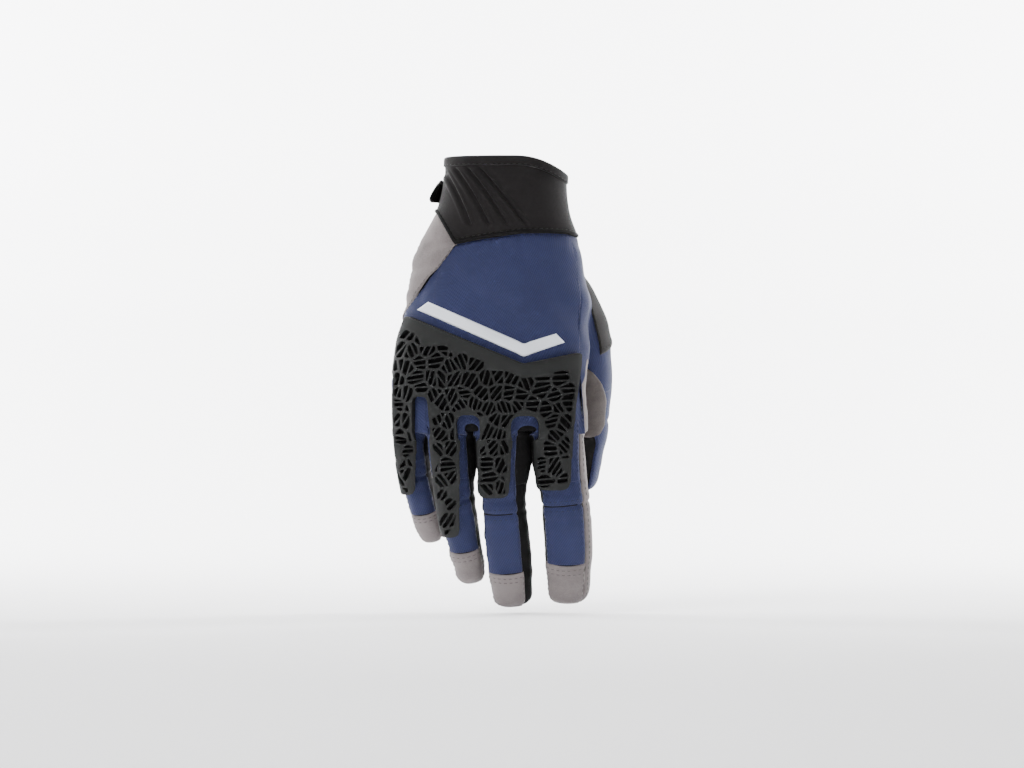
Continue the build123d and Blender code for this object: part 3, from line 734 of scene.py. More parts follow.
class HandForm:
    """The smooth hand under the panels, as one surface to drape on."""

    grain = 1.15  # size of the remeshed faces
    smoothing = 16
    slack = 4.0  # how far past its limit a draping ray looks
    open_share = 1.3  # below this limit, a ray that meets nothing drapes at the limit
    least_share = 0.8  # least share of a part's own radius
    thumb_join = (62.0, 74.0)  # distances down the bone where the thumb's own skin takes over
    finger_join = (138.0, 150.0)  # depths where a finger's own skin takes over
    front_start = -80.0  # where rays square on to the back start
    front_reach = 110.0

    def __init__(self) -> None:
        """Joins palm and digits, remeshes them as one and smooths the joins."""
        self.palm = Palm()
        self.tubes = {digit.name: Tube(digit) for digit in (*FINGERS, THUMB)}
        verts: list[Vector] = []
        faces: list[Face] = []
        heights = list(np.linspace(5.5, -141.0, 74))
        self._loft(verts, faces, self._rings(lambda z, t: self.palm.ray(t, z), heights, 72))
        for tube in self.tubes.values():
            self._loft(verts, faces, self._rings(tube.ray, np.linspace(0, tube.length, 60), 40))
        final = self._one_skin(verts, faces)
        self.verts = [v.co.copy() for v in final.vertices]
        self.normals = [v.normal.copy() for v in final.vertices]
        self.faces = [tuple(p.vertices) for p in final.polygons]
        self.tree = BVHTree.FromPolygons(self.verts, self.faces)
        verts, faces = [], []
        for digit in FINGERS:
            tube = self.tubes[digit.name]
            self._loft(verts, faces, self._rings(tube.ray, np.linspace(0, tube.length, 90), 40))
        self.finger_tree = BVHTree.FromPolygons(verts, faces)
        log.info("hand form: %d faces", len(self.faces))

    def _one_skin(self, verts: list[Vector], faces: list[Face]) -> bpy.types.Mesh:
        """The lofts remeshed as one surface, with soft joins."""
        mesh = bpy.data.meshes.new("hand_form")
        mesh.from_pydata(verts, [], faces)
        rough = bpy.data.objects.new("hand_form", mesh)
        bpy.context.scene.collection.objects.link(rough)
        remesh = rough.modifiers.new("one_skin", "REMESH")
        remesh.mode = "VOXEL"
        remesh.voxel_size = self.grain
        smooth = rough.modifiers.new("soft_joins", "SMOOTH")
        smooth.factor, smooth.iterations = 0.5, self.smoothing
        graph = bpy.context.evaluated_depsgraph_get()
        final = bpy.data.meshes.new_from_object(rough.evaluated_get(graph))
        bpy.data.objects.remove(rough)
        return final

    @staticmethod
    def _rings(ray: Callable[[float, float], Ray], stations: Sequence[float],
               around: int) -> list[list[Vector]]:
        """Rings of skin points, one a station."""
        turns = np.linspace(0, 360, around, endpoint=False)
        return [[o + d * r for o, d, r in (ray(s, turn) for turn in turns)] for s in stations]

    @staticmethod
    def _loft(verts: list[Vector], faces: list[Face], rings: list[list[Vector]]) -> None:
        """Adds a closed loft through rings of equal length."""
        start, size = len(verts), len(rings[0])
        for ring in rings:
            verts.extend(ring)
        for r in range(len(rings) - 1):
            for i in range(size):
                a, b = start + r * size + i, start + r * size + (i + 1) % size
                faces.append((a, a + size, b + size, b))
        faces.append(tuple(range(start, start + size)))
        faces.append(tuple(reversed(range(start + (len(rings) - 1) * size, start + len(rings) * size))))

    def reach(self, origin: Vector, way: Vector, own: float, most: float) -> float:
        """How far the form's skin lies from a point inside it, near its own radius.

        Args:
            origin: Where the ray starts, in millimetres.
            way: Its direction.
            own: The radius that the part has by itself.
            most: The largest share of its own radius that is allowed.

        Returns:
            The distance to drape at.
        """
        place, _, _, far = self.tree.ray_cast(origin, way, own * most + self.slack)
        if place is None:
            return own * most if most < self.open_share else own
        return min(max(far, own * self.least_share), own * most)

    def on_palm(self, t: float, z: float, most: float = FULLEST) -> Vector:
        """Skin point of the palm, at most that share of its own radius out."""
        origin, way, own = self.palm.ray(t, z)
        return origin + way * self.reach(origin, way, own, most)

    def on_digit(self, tube: Tube, s: float, angle: float) -> Vector:
        """Skin point of a digit, which follows the joined form near its root."""
        origin, way, own = tube.ray(s, angle)
        if tube.digit is THUMB:
            share, most = 1 - ease(s, *self.thumb_join), 1.2
        else:
            share, most = 1 - ease(-origin.z, *self.finger_join), 1.12
        if share <= 0:
            return origin + way * own
        return origin + way * (own + (self.reach(origin, way, own, most) - own) * share)

    def front(self, x: float, z: float) -> Place:
        """Skin point and normal seen square on from the back of the hand."""
        hits = [self.look(tree, x, z) for tree in (self.tree, self.finger_tree)]
        found = [hit for hit in hits if hit[0]]
        if found:
            place, normal, _, _ = min(found, key=lambda hit: hit[0].y)
            return place, normal
        place, normal, _, _ = self.tree.find_nearest(Vector((x, 8.0, z)))
        return place, normal

    def look(self, tree: BVHTree, x: float, z: float) -> tuple:
        """What a ray square on from the back of the hand meets first."""
        return tree.ray_cast(Vector((x, self.front_start, z)), Vector((0, 1, 0)), self.front_reach)


class Skin:
    """Makes thin closed pieces from a grid of skin points, with a cloth map in millimetres."""

    length_slack = 1.0005  # keeps a flat piece no shorter than the draped one

    @staticmethod
    def link(name: str, mesh: bpy.types.Mesh) -> Piece:
        """Puts a mesh in the scene as a piece."""
        piece = bpy.data.objects.new(f"{name}_look", mesh)
        bpy.context.scene.collection.objects.link(piece)
        return piece

    @classmethod
    def smooth(cls, name: str, verts: Iterable[Vector], faces: Sequence[Face]) -> Piece:
        """A smooth-shaded piece from points in millimetres."""
        mesh = bpy.data.meshes.new(name)
        mesh.from_pydata([v * MM for v in verts], [], faces)
        mesh.shade_smooth()
        return cls.link(name, mesh)

    @staticmethod
    def pick(piece: Piece) -> None:
        """Makes a piece the only one selected, and the active one."""
        bpy.ops.object.select_all(action="DESELECT")
        piece.select_set(True)
        bpy.context.view_layer.objects.active = piece

    @staticmethod
    def normals(grid: np.ndarray, ring: bool = False) -> np.ndarray:
        """Outward normals of a grid of rows and columns, by central differences."""
        down = np.gradient(grid, axis=0)
        if ring:
            across = (np.roll(grid, -1, axis=1) - np.roll(grid, 1, axis=1)) / 2
        else:
            across = np.gradient(grid, axis=1)
        made = np.cross(down, across)
        size = np.linalg.norm(made, axis=2, keepdims=True)
        return made / np.maximum(size, 1e-9)

    @staticmethod
    def _faces(rows: int, columns: int, ring: bool) -> list[Face]:
        """Faces of a closed thin piece: outer side, inner side and the edges between them."""
        shift = rows * columns
        faces: list[Face] = []
        wide = columns if ring else columns - 1
        for r in range(rows - 1):
            for c in range(wide):
                a, b = r * columns + c, r * columns + (c + 1) % columns
                d, e = a + columns, b + columns
                faces.append((a, d, e, b))
                faces.append((shift + a, shift + b, shift + e, shift + d))
        for c in range(wide):
            a, b = c, (c + 1) % columns
            faces.append((a, b, shift + b, shift + a))
            a, b = (rows - 1) * columns + c, (rows - 1) * columns + (c + 1) % columns
            faces.append((b, a, shift + a, shift + b))
        if not ring:
            for r in range(rows - 1):
                a, b = r * columns, (r + 1) * columns
                faces.append((b, a, shift + a, shift + b))
                a, b = a + columns - 1, b + columns - 1
                faces.append((a, b, shift + b, shift + a))
        return faces

    @classmethod
    def closed(cls, name: str, grid: np.ndarray, thick: float, ring: bool) -> Piece:
        """A closed thin piece.

        Args:
            name: The piece's name.
            grid: Skin points by row and column, in millimetres, with the outside to the viewer when
                rows run down and columns run to the right.
            thick: Thickness, laid inwards.
            ring: Whether the last column joins the first.

        Returns:
            The piece.
        """
        rows, columns = grid.shape[:2]
        inside = grid - cls.normals(grid, ring) * thick
        verts = np.concatenate([grid.reshape(-1, 3), inside.reshape(-1, 3)]) * MM
        mesh = bpy.data.meshes.new(name)
        mesh.from_pydata([tuple(v) for v in verts], [], cls._faces(rows, columns, ring))
        across = np.linalg.norm(np.diff(grid, axis=1), axis=2).mean(axis=0)
        down = np.linalg.norm(np.diff(grid, axis=0), axis=2).mean(axis=1)
        u = np.concatenate([[0.0], np.cumsum(across)])
        v = np.concatenate([[0.0], np.cumsum(down)])
        cloth = mesh.uv_layers.new(name="cloth")
        index = np.array([loop.vertex_index for loop in mesh.loops]) % (rows * columns)
        places = np.stack([u[index % columns], v[index // columns]], axis=1)
        cloth.data.foreach_set("uv", places.ravel().astype(np.float32))
        mesh.shade_smooth()
        mesh.update()
        return cls.link(name, mesh)

    @classmethod
    def flat_size(cls, grid: np.ndarray, ring: bool) -> tuple[Point, float]:
        """Flat width and length in metres, and area in square metres, of a draped grid."""
        closed = np.concatenate([grid, grid[:, :1]], axis=1) if ring else grid
        a, b = closed[:-1, :-1], closed[:-1, 1:]
        c, d = closed[1:, 1:], closed[1:, :-1]
        halves = [np.linalg.norm(np.cross(p, q), axis=2) for p, q in ((b - a, c - a), (c - a, d - a))]
        area = 0.5 * (halves[0] + halves[1]).sum()
        width = np.linalg.norm(np.diff(closed, axis=1), axis=2).sum(axis=1).max()
        length = np.linalg.norm(np.diff(closed, axis=0), axis=2).sum(axis=0).max()
        length = max(length, area / width)
        return (float(width * MM), float(length * MM * cls.length_slack)), float(area * MM * MM)


def full_turn(around: int) -> list[float]:
    """Angles of the points of a ring."""
    return [2 * math.pi * k / around for k in range(around)]


def loft(verts: list[Vector], faces: list[Face], rings: Sequence[Sequence[Vector]]) -> None:
    """Adds a closed loft through rings of equal length to some points and faces."""
    start, size = len(verts), len(rings[0])
    for ring in rings:
        verts.extend(ring)
    last = start + (len(rings) - 1) * size
    for low in range(start, last, size):
        for k in range(size):
            a, b = low + k, low + (k + 1) % size
            faces.append((a, b, b + size, a + size))
    faces.append(tuple(range(start + size - 1, start - 1, -1)))
    faces.append(tuple(range(last, last + size)))


class Seams:
    """Rows of stitches, each a small rounded thread on the skin."""

    long, thick, pitch = 2.0, 0.42, 2.9
    around = 6
    flat = 0.8  # height of a thread over its width
    stations = ((0.0, 0.25, -1.1), (0.1, 0.85, -0.3), (0.3, 1.0, 0.25), (0.7, 1.0, 0.25), (0.9, 0.85, -0.3),
                (1.0, 0.25, -1.1))

    @classmethod
    def sew(cls, name: str, paths: Iterable[Sequence[Place]], cloth: Cloth) -> Piece:
        """Lays stitches along paths of skin points and normals.

        Args:
            name: What is sewn.
            paths: Lines of (point, normal), in millimetres.
            cloth: The cloth whose thread is used.

        Returns:
            One piece that holds all the stitches.
        """
        verts: list[Vector] = []
        faces: list[Face] = []
        for path in paths:
            points = [np.array(p) for p, _ in path]
            gaps = [float(np.linalg.norm(b - a)) for a, b in zip(points, points[1:])]
            run = np.concatenate([[0.0], np.cumsum(gaps)])
            if run[-1] < cls.pitch:
                continue
            normals = [np.array(n) for _, n in path]
            s = cls.pitch / 2
            while s < run[-1] - cls.long / 2:
                ends = [cls._at(s + step, run, points) for step in (-cls.long / 2, cls.long / 2)]
                cls._stitch(verts, faces, *ends, cls._at(s, run, normals).normalized())
                s += cls.pitch
        piece = Skin.smooth(f"{name}_stitches", verts, faces)
        cloth.thread.dress(piece)
        return piece

    @staticmethod
    def _at(s: float, run: np.ndarray, rows: list[np.ndarray]) -> Vector:
        """Value of a list of rows at a distance along a path."""
        return Vector([float(np.interp(s, run, [row[i] for row in rows])) for i in range(3)])

    @classmethod
    def _stitch(cls, verts: list[Vector], faces: list[Face], a: Vector, b: Vector, up: Vector) -> None:
        """Adds one stitch from a to b that rises in the middle and dips at its ends."""
        along = (b - a).normalized()
        side = along.cross(up).normalized()
        radius = cls.thick / 2
        rings = []
        for share, girth, rise in cls.stations:
            centre = a.lerp(b, share) + up * radius * rise
            rings.append([centre + (side * math.cos(turn) + up * math.sin(turn) * cls.flat) * radius * girth
                          for turn in full_turn(cls.around)])
        loft(verts, faces, rings)


class Builder:
    """What every sub-assembly shares: the hand form and the way panels are laid on it."""

    seam_steps = 14  # halvings that settle a column on a seam
    seam_start = -42.0

    def __init__(self, form: HandForm) -> None:
        """Keeps the form that panels are draped on."""
        self.form = form

    def palm_grid(self, turns: Callable[[float], float], top: Edge, bottom: Edge, size: Size, lift: Lift,
                  most: Callable[[float], float] = lambda t: FULLEST) -> np.ndarray:
        """A grid on the palm, in columns that run down the hand.

        Args:
            turns: The t of a column, from its share across.
            top: Height of the top edge, from share across and t.
            bottom: Height of the bottom edge.
            size: Rows and columns.
            lift: Height above the skin, from the shares across and down and the skin point.
            most: Largest share of the palm's own radius at a t.

        Returns:
            The grid in millimetres.
        """
        rows, columns = size
        grid = np.zeros((rows, columns, 3))
        for c in range(columns):
            u = c / (columns - 1)
            t = turns(u)
            high, low = top(u, t), bottom(u, t)
            for r in range(rows):
                v = r / (rows - 1)
                z = high + (low - high) * v
                _, way, _ = self.form.palm.ray(t, z)
                skin = self.form.on_palm(t, z, most(t))
                grid[r, c] = skin + way * lift(u, v, skin)
        return grid

    def digit_grid(self, tube: Tube, run: Point, angles: Callable[[float], Point], size: Size, lift: Lift,
                   ring: bool = False, crowd: float = 1.0) -> np.ndarray:
        """A grid on a digit, in rows round it.

        Args:
            tube: The digit's skin.
            run: Distances down the bone of the first and last row.
            angles: First and last angle of a row, from its distance down the bone.
            size: Rows and columns.
            lift: Height above the skin, from the shares across and down and the skin point.
            ring: Whether the rows close.
            crowd: Above 1, the rows lie closer together towards the far end.

        Returns:
            The grid in millimetres.
        """
        rows, columns = size
        grid = np.zeros((rows, columns, 3))
        for r in range(rows):
            v = 1 - (1 - r / (rows - 1)) ** crowd
            s = run[0] + (run[1] - run[0]) * v
            first, last = angles(s)
            for c in range(columns):
                u = c / columns if ring else c / (columns - 1)
                angle = first + (last - first) * u
                _, way, _ = tube.ray(s, angle)
                skin = self.form.on_digit(tube, s, angle)
                grid[r, c] = skin + way * lift(u, v, skin)
        return grid

    @staticmethod
    def shut(grid: np.ndarray) -> np.ndarray:
        """Adds the rows that close a tube's far end."""
        pole = grid[-1].mean(axis=0)
        return np.concatenate([grid] + [(grid[-1:] - pole) * share + pole for share in (0.6, 0.25, 0.02)])

    @staticmethod
    def edge_dip(u: float, v: float, across: float, down: float, sides: str = "lrtb", depth: float = 0.55,
                 reach: float = 1.6) -> float:
        """How far a panel's edge is drawn down by its seam, in millimetres below its middle.

        Args:
            u: Share across.
            v: Share down.
            across: Width of the panel.
            down: Length of the panel.
            sides: The edges that are sewn: left, right, top, bottom.
            depth: How deep the edge is drawn down.
            reach: How far from the edge the draw is felt.

        Returns:
            The drop, which is 0 well inside the panel.
        """
        gaps = {"l": u * across, "r": (1 - u) * across, "t": v * down, "b": (1 - v) * down}
        near = min(gaps[side] for side in sides)
        return depth * (1 - min(1.0, near / reach)) ** 2

    def panel(self, name: str, grid: np.ndarray, cloth: Cloth, nodes: Sequence[str] = (), ring: bool = False,
              sheet: bool = True, rests: Sequence[Piece] = ()) -> Piece:
        """Makes, dresses and declares one cloth panel; it still has to ride or blend.

        Args:
            name: The panel's name.
            grid: Its outer face, in millimetres.
            cloth: What it is cut from.
            nodes: The nodes of the model that it replaces.
            ring: Whether the grid closes round.
            sheet: Whether it is declared as a stretched sheet.
            rests: The pieces it lies on.

        Returns:
            The panel.
        """
        piece = Skin.closed(name, grid, cloth.thick, ring)
        cloth.finish.dress(piece)
        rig.slot(piece, cloth.slot)
        if nodes:
            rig.replaces(piece, *nodes)
        if sheet:
            flat, area = Skin.flat_size(grid, ring)
            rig.sheet(piece, flat=flat, held="stretched", rests_on=list(rests), area=area)
        return piece

    def settle(self, line: Sequence[Point], t: float) -> float:
        """Height at which the column t of the palm meets a seam line of (x, height)."""
        z = self.seam_start
        for _ in range(self.seam_steps):
            z = (z + on_line(line, self.form.on_palm(t, z).x)) / 2
        return z

    @staticmethod
    def tree_of(grid: np.ndarray) -> BVHTree:
        """Search tree of a grid's surface."""
        rows, columns = grid.shape[:2]
        faces = [(r * columns + c, (r + 1) * columns + c, (r + 1) * columns + c + 1, r * columns + c + 1)
                 for r in range(rows - 1) for c in range(columns - 1)]
        return BVHTree.FromPolygons([Vector(p) for p in grid.reshape(-1, 3)], faces)

    @staticmethod
    def row_paths(grid: np.ndarray, rows: Sequence[int], inset: int) -> list[list[Place]]:
        """Paths along a grid's rows, with outward normals, that stop short of its ends."""
        normal = Skin.normals(grid)
        return [[(Vector(grid[r, c]), Vector(normal[r, c])) for c in range(inset, grid.shape[1] - inset)]
                for r in rows]

    @staticmethod
    def column_paths(grid: np.ndarray, columns: Sequence[int], inset: int) -> list[list[Place]]:
        """Paths down a grid's columns, with outward normals, that stop short of its ends."""
        normal = Skin.normals(grid)
        return [[(Vector(grid[r, c]), Vector(normal[r, c])) for r in range(inset, grid.shape[0] - inset)]
                for c in columns]


@dataclass(frozen=True)
class HandSizes:
    """Sizes of the hand's panels, in millimetres and degrees."""

    core_depth: float = 1.5
    core_thick: float = 1.0
    core_span: Point = (-143.0, -12.0)
    thumb_cut: float = 45.0
    thumb_clear: float = 17.0
    thumb_ahead: float = 4.0
    web: float = -141.5
    web_little: Point = (46.0, 54.0)
    web_rise: float = 8.5
    arch_crown: float = 3.4
    arch_flare: float = 14.0
    arch_reach: float = 1.6
    side_seam: float = -102.0
    side_drop: float = 14.0
    side_turns: Point = (60.0, 80.0)
    back_turns: Point = (-100.0, 96.0)
    back_side: float = 62.0
    heel_turn: float = -126.0
    heel_side: float = -90.0
    heel_foot: float = -104.0
    heel_end: Point = (-25.0, -44.5)
    palm_turns: Point = (61.5, 262.0)
    palm_bottom: float = -140.0
    crotch_turns: Point = (104.0, 124.0)
    crotch_rise: float = 57.0
    patch_centre: Point = (-14.0, -88.0)
    patch_size: Point = (52.0, 60.0)
    patch_height: float = 1.25
    patch_pull: float = 0.16
    stripe_height: float = 0.42
    stripe_turn: float = 0.73
    stripe_soft: float = 0.05
    stripe_lower: tuple[Point, ...] = ((-45.6, -77.8), (8.6, -101.6), (29.3, -94.4))
    stripe_upper: tuple[Point, ...] = ((-39.9, -73.8), (8.6, -95.0), (24.9, -89.9))


class Hand(Builder):
    """Everything that rides the hand except the cuff and the guard."""

    def __init__(self, form: HandForm, sizes: HandSizes = HandSizes()) -> None:
        """Builds the core and lays the panels on it."""
        super().__init__(form)
        self.sizes = sizes
        self.core = self._core()
        self._back()
        self._heel()
        self._palm()
        self._stripe()
        self._patch()

    def _core_faces(self, verts: Sequence[Vector]) -> list[tuple[int, ...]]:
        """The form's faces that the core keeps: between cuff and fingers, and short of the thumb's shaft."""
        sizes = self.sizes
        thumb = self.form.tubes["thumb"]
        cut = thumb.frame(sizes.thumb_cut)[0]
        ahead = (thumb.frame(sizes.thumb_cut + sizes.thumb_ahead)[0] - cut).normalized()
        bone = thumb.line[thumb.run > sizes.thumb_cut, :3]
        low, high = sizes.core_span
        kept = []
        for face in self.form.faces:
            middle = sum((verts[i] for i in face), Vector()) / len(face)
            near = float(np.linalg.norm(bone - np.array(middle), axis=1).min()) < sizes.thumb_clear
            if low < middle.z < high and not (near and (middle - cut).dot(ahead) > 0):
                kept.append(face)
        return kept

    def _core(self) -> Piece:
        """The black stretch body between the panels: webs and the roots of the digits."""
        sizes = self.sizes
        verts = [v - n * sizes.core_depth for v, n in zip(self.form.verts, self.form.normals)]
        faces = self._core_faces(verts)
        used = sorted({i for face in faces for i in face})
        index = {old: new for new, old in enumerate(used)}
        faces = [tuple(index[i] for i in face) for face in faces]
        core = Skin.smooth("hand_core", [verts[i] for i in used], faces)
        thick = core.modifiers.new("cloth", "SOLIDIFY")
        thick.thickness, thick.offset = sizes.core_thick * MM, -1.0
        Skin.pick(core)
        bpy.ops.object.modifier_apply(modifier=thick.name)
        cloth = core.data.uv_layers.new(name="cloth")
        for loop in core.data.loops:
            place = core.data.vertices[loop.vertex_index].co / MM
            cloth.data[loop.index].uv = (place.x + place.y, place.z)
        CORE.finish.dress(core)
        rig.slot(core, CORE.slot)
        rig.replaces(core, "webs", "finger_roots", "thumb_root", "root_folds")
        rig.ride(core, "hand")
        return core

    def _web_edge(self, x: float) -> float:
        """Lower edge of the back panel, scalloped in blue arches over the gaps between fingers."""
        sizes = self.sizes
        edge = sizes.web + ease(-x, *sizes.web_little) * sizes.web_rise
        for centre, peak, half in ARCHES:
            gap = abs(x - centre) / half
            if gap < sizes.arch_reach:
                crown = sizes.arch_crown * (1 - math.sqrt(max(0.0, 1 - min(1.0, gap) ** 2)))
                edge = max(edge, peak - crown - sizes.arch_flare * max(0.0, gap - 1.0))
        return edge

    def _side_seam(self, t: float) -> float:
        """Height of the slanted seam between the back and the suede on the thumb side."""
        sizes = self.sizes
        return sizes.side_seam - sizes.side_drop * (1 - ease(t, *sizes.side_turns))

    def _back(self) -> None:
        """The blue back panel, from the cuff to the knuckles."""
        sizes = self.sizes
        left, right = sizes.back_turns

        def top(u: float, t: float) -> float:
            """The cuff's seam, or the heel's where that lies lower."""
            z = -44.0
            for _ in range(self.seam_steps):
                x = self.form.on_palm(t, z).x
                heel = on_line(HEEL_SEAM, x) if x < HEEL_SEAM[-1][0] else 0.0
                z = (z + max(-90.0, min(on_line(CUFF_SEAM, x), heel))) / 2
            return z + 0.6

        def bottom(u: float, t: float) -> float:
            """The arches, then the slanted side seam."""
            if t < sizes.back_side:
                return self._web_edge(self.form.on_palm(t, -136.0).x)
            return self._side_seam(t) - 1.0

        def lift(u: float, v: float, skin: Vector) -> float:
            """Long folds that fade under the guard, and a pucker at the cuff."""
            fold = ripple(skin, 13.0, -38.0, 3.0) * 1.7 + ripple(skin, 26.0, 24.0, 9.0) * 1.5
            pucker = ripple(skin, 4.5, 84.0, 6.0) * 0.45 * (1 - ease(v, 0.02, 0.14)) * ease(v, 0.0, 0.03)
            clear = 1 - ease(on_line(GUARD_TOP, skin.x) - skin.z, -9.0, 1.0) * (1 - ease(skin.x, 36.0, 39.5))
            loose = (max(fold, -1.1) + 0.6) * ease(v, 0.0, 0.15) * clear
            return 0.35 + pucker + loose - self.edge_dip(u, v, 120, 95, "lt", 0.9, 2.6)

        grid = self.palm_grid(lambda u: left + (right - left) * u, top, bottom, (150, 190), lift)
        self.back_tree = self.tree_of(grid)
        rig.ride(self.panel("back_panel", grid, STRETCH, ("back_panel",), rests=(self.core,)), "hand")
        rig.ride(Seams.sew("back", self.row_paths(grid, (3,), 6), STRETCH), "hand")

    def _heel(self) -> None:
        """The suede heel, round the little-finger side."""
        sizes = self.sizes

        def top(u: float, t: float) -> float:
            """The cuff's seam."""
            return self.settle(CUFF_SEAM, t)

        def bottom(u: float, t: float) -> float:
            """The seam with the back, carried on under the palm."""
            if t < sizes.heel_side:
                side = bottom(u, sizes.heel_side)
                return side + (sizes.heel_foot - side) * ease(-t, 90, 150)
            z = -60.0
            for _ in range(8):
                x = self.form.on_palm(t, max(z, -110.0)).x
                z = (z + max(on_line(HEEL_SEAM, x), -112.0)) / 2
            return min(z - 0.4, top(u, t) - 0.8)

        def lift(u: float, v: float, skin: Vector) -> float:
            """Loose lumps towards the lower edge."""
            lump = ripple(skin, 10.0, 34.0, 5.0) * 1.5 * ease(v, 0.25, 0.7)
            fine = ripple(skin, 5.0, 12.0, 8.0) * 0.5 * ease(v, 0.1, 0.5)
            return 1.0 + lump + fine - self.edge_dip(u, v, 75, 40, "lrtb", 0.7, 2.0)

        first, last = sizes.heel_turn, self.form.palm.turn_at(*sizes.heel_end)
        grid = self.palm_grid(lambda u: first + (last - first) * u, top, bottom, (70, 110), lift)
        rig.ride(self.panel("heel_panel", grid, SUEDE, ("heel_panel",), rests=(self.core,)), "hand")
        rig.ride(Seams.sew("heel", self.row_paths(grid, (66,), 3), SUEDE), "hand")

    def _palm(self) -> None:
        """The suede palm, which wraps the thumb side of the knuckles."""
        sizes = self.sizes
        first, last = sizes.palm_turns
        start, end = sizes.crotch_turns

        def top(u: float, t: float) -> float:
            """The slanted side seam, the thumb's crotch, then the cuff's seam."""
            if t < end:
                return self._side_seam(t) + ease(t, start, end) * sizes.crotch_rise
            return self.settle(CUFF_SEAM, t)

        def bottom(u: float, t: float) -> float:
            """The roots of the fingers."""
            return sizes.palm_bottom + 11.0 * ease(-self.form.on_palm(t, -130.0).x, 36.0, 52.0)

        def lift(u: float, v: float, skin: Vector) -> float:
            """Soft creases of a bent palm."""
            crease = ripple(skin, 13.0, 28.0, 2.0) * 0.9 + ripple(skin, 6.0, -10.0, 6.0) * 0.25
            return 0.5 + crease * ease(v, 0.0, 0.12) - self.edge_dip(u, v, 130, 95, "lrtb", 0.6, 2.0)

        grid = self.palm_grid(lambda u: first + (last - first) * u, top, bottom, (110, 150), lift,
                              lambda t: 1.03 + 0.22 * ease(t, 128.0, 150.0))
        self.palm_tree = self.tree_of(grid)
        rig.ride(self.panel("palm_panel", grid, SUEDE, ("palm_panel",), rests=(self.core,)), "hand")
        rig.ride(Seams.sew("palm", self.column_paths(grid, (3, 146), 4), SUEDE), "hand")

    def _stripe(self) -> None:
        """The reflective chevron over the knuckles."""
        sizes, rows, columns = self.sizes, 9, 150
        grid = np.zeros((rows, columns, 3))
        for c in range(columns):
            share = c / (columns - 1)
            low, high = self._along(sizes.stripe_lower, share), self._along(sizes.stripe_upper, share)
            for r in range(rows):
                x, z = low.lerp(high, 1 - r / (rows - 1))
                skin, normal = self.form.front(x, z)
                edge = 0.25 if r in (0, rows - 1) or c in (0, columns - 1) else 0.0
                grid[r, c] = self._back_point(skin) + normal * (sizes.stripe_height - edge)
        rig.ride(self.panel("reflective_stripe", grid, FILM, ("reflective_stripe",), sheet=False), "hand")

    def _along(self, corners: Sequence[Point], share: float) -> Vector:
        """Place at a share along the chevron, with its turn softened."""
        turn, soft = self.sizes.stripe_turn, self.sizes.stripe_soft
        start, bend, end = (Vector(c) for c in corners)
        before = start.lerp(bend, share / turn)
        after = bend.lerp(end, (share - turn) / (1 - turn))
        return before.lerp(after, ease(share, turn - soft, turn + soft))

    def _back_point(self, skin: Vector) -> Vector:
        """The back panel's outer surface in front of a skin point."""
        place, *_ = self.form.look(self.back_tree, skin.x, skin.z)
        return place if place is not None else skin

    def _patch(self) -> None:
        """The second layer of suede in the middle of the palm."""
        sizes, count = self.sizes, 56
        (cx, cz), (wide, tall) = sizes.patch_centre, sizes.patch_size
        grid = np.zeros((count, count, 3))
        for r in range(count):
            for c in range(count):
                u, v = 1 - 2 * c / (count - 1), 1 - 2 * r / (count - 1)
                pull = 1 - sizes.patch_pull * min(abs(u), abs(v)) ** 3
                x, z = cx + u * wide / 2 * pull, cz + v * tall / 2 * pull
                place, *_ = self.palm_tree.ray_cast(Vector((x, 90.0, z)), Vector((0, -1, 0)), 150.0)
                dip = self.edge_dip(c / (count - 1), r / (count - 1), wide, tall, "lrtb", 0.6, 1.5)
                grid[r, c] = place + Vector((0, sizes.patch_height - dip, 0))
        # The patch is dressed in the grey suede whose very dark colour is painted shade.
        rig.ride(self.panel("palm_patch", grid, DARK_SUEDE, ("palm_patch",)), "hand")
        paths = self.row_paths(grid, (3, count - 4), 3) + self.column_paths(grid, (3, count - 4), 3)
        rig.ride(Seams.sew("patch", paths, DARK_SUEDE), "hand")


@dataclass(frozen=True)
class CuffSizes:
    """Sizes of the cuff and its closure, in millimetres; the strap's root is in metres."""

    proud: float = 1.0
    padding: float = 0.35
    dip_start: float = 4.0
    dip_width: float = 26.0
    dip: float = 9.0
    hem: float = 5.0
    groove_top: float = -6.0
    groove_bottom: float = -35.5
    groove_start: Point = (-31.0, -18.0)
    groove_pitch: Point = (5.7, 9.2)
    grooves: int = 4
    groove_width: float = 1.9
    groove_depth: float = 1.6
    piping_turn: float = 100.0
    piping_points: int = 120
    piping_radius: float = 1.15
    tab_turns: Point = (239.0, 270.0)
    tab_heights: Point = (-11.2, -22.8)
    tab_taper: float = 1.4
    strap_root: tuple[Triple, Triple] = ((0.0165, 0.0245, -0.0205), (0.0050, 0.0245, -0.0205))


@dataclass(frozen=True)
class Ply:
    """One flat layer of the closure, in degrees and millimetres."""

    name: str
    turns: Point
    heights: Point
    proud: float
    cloth: Cloth


LOOP_PAD = Ply("loop_pad", (168.0, 240.0), (-11.0, -30.0), 2.1, PILE)
HOOK_PAD = Ply("hook_pad", (172.0, 239.0), (-11.5, -29.5), 2.9, HOOKS)
STRAP = Ply("strap", (153.0, 243.0), (-9.8, -30.2), 4.4, BINDING)


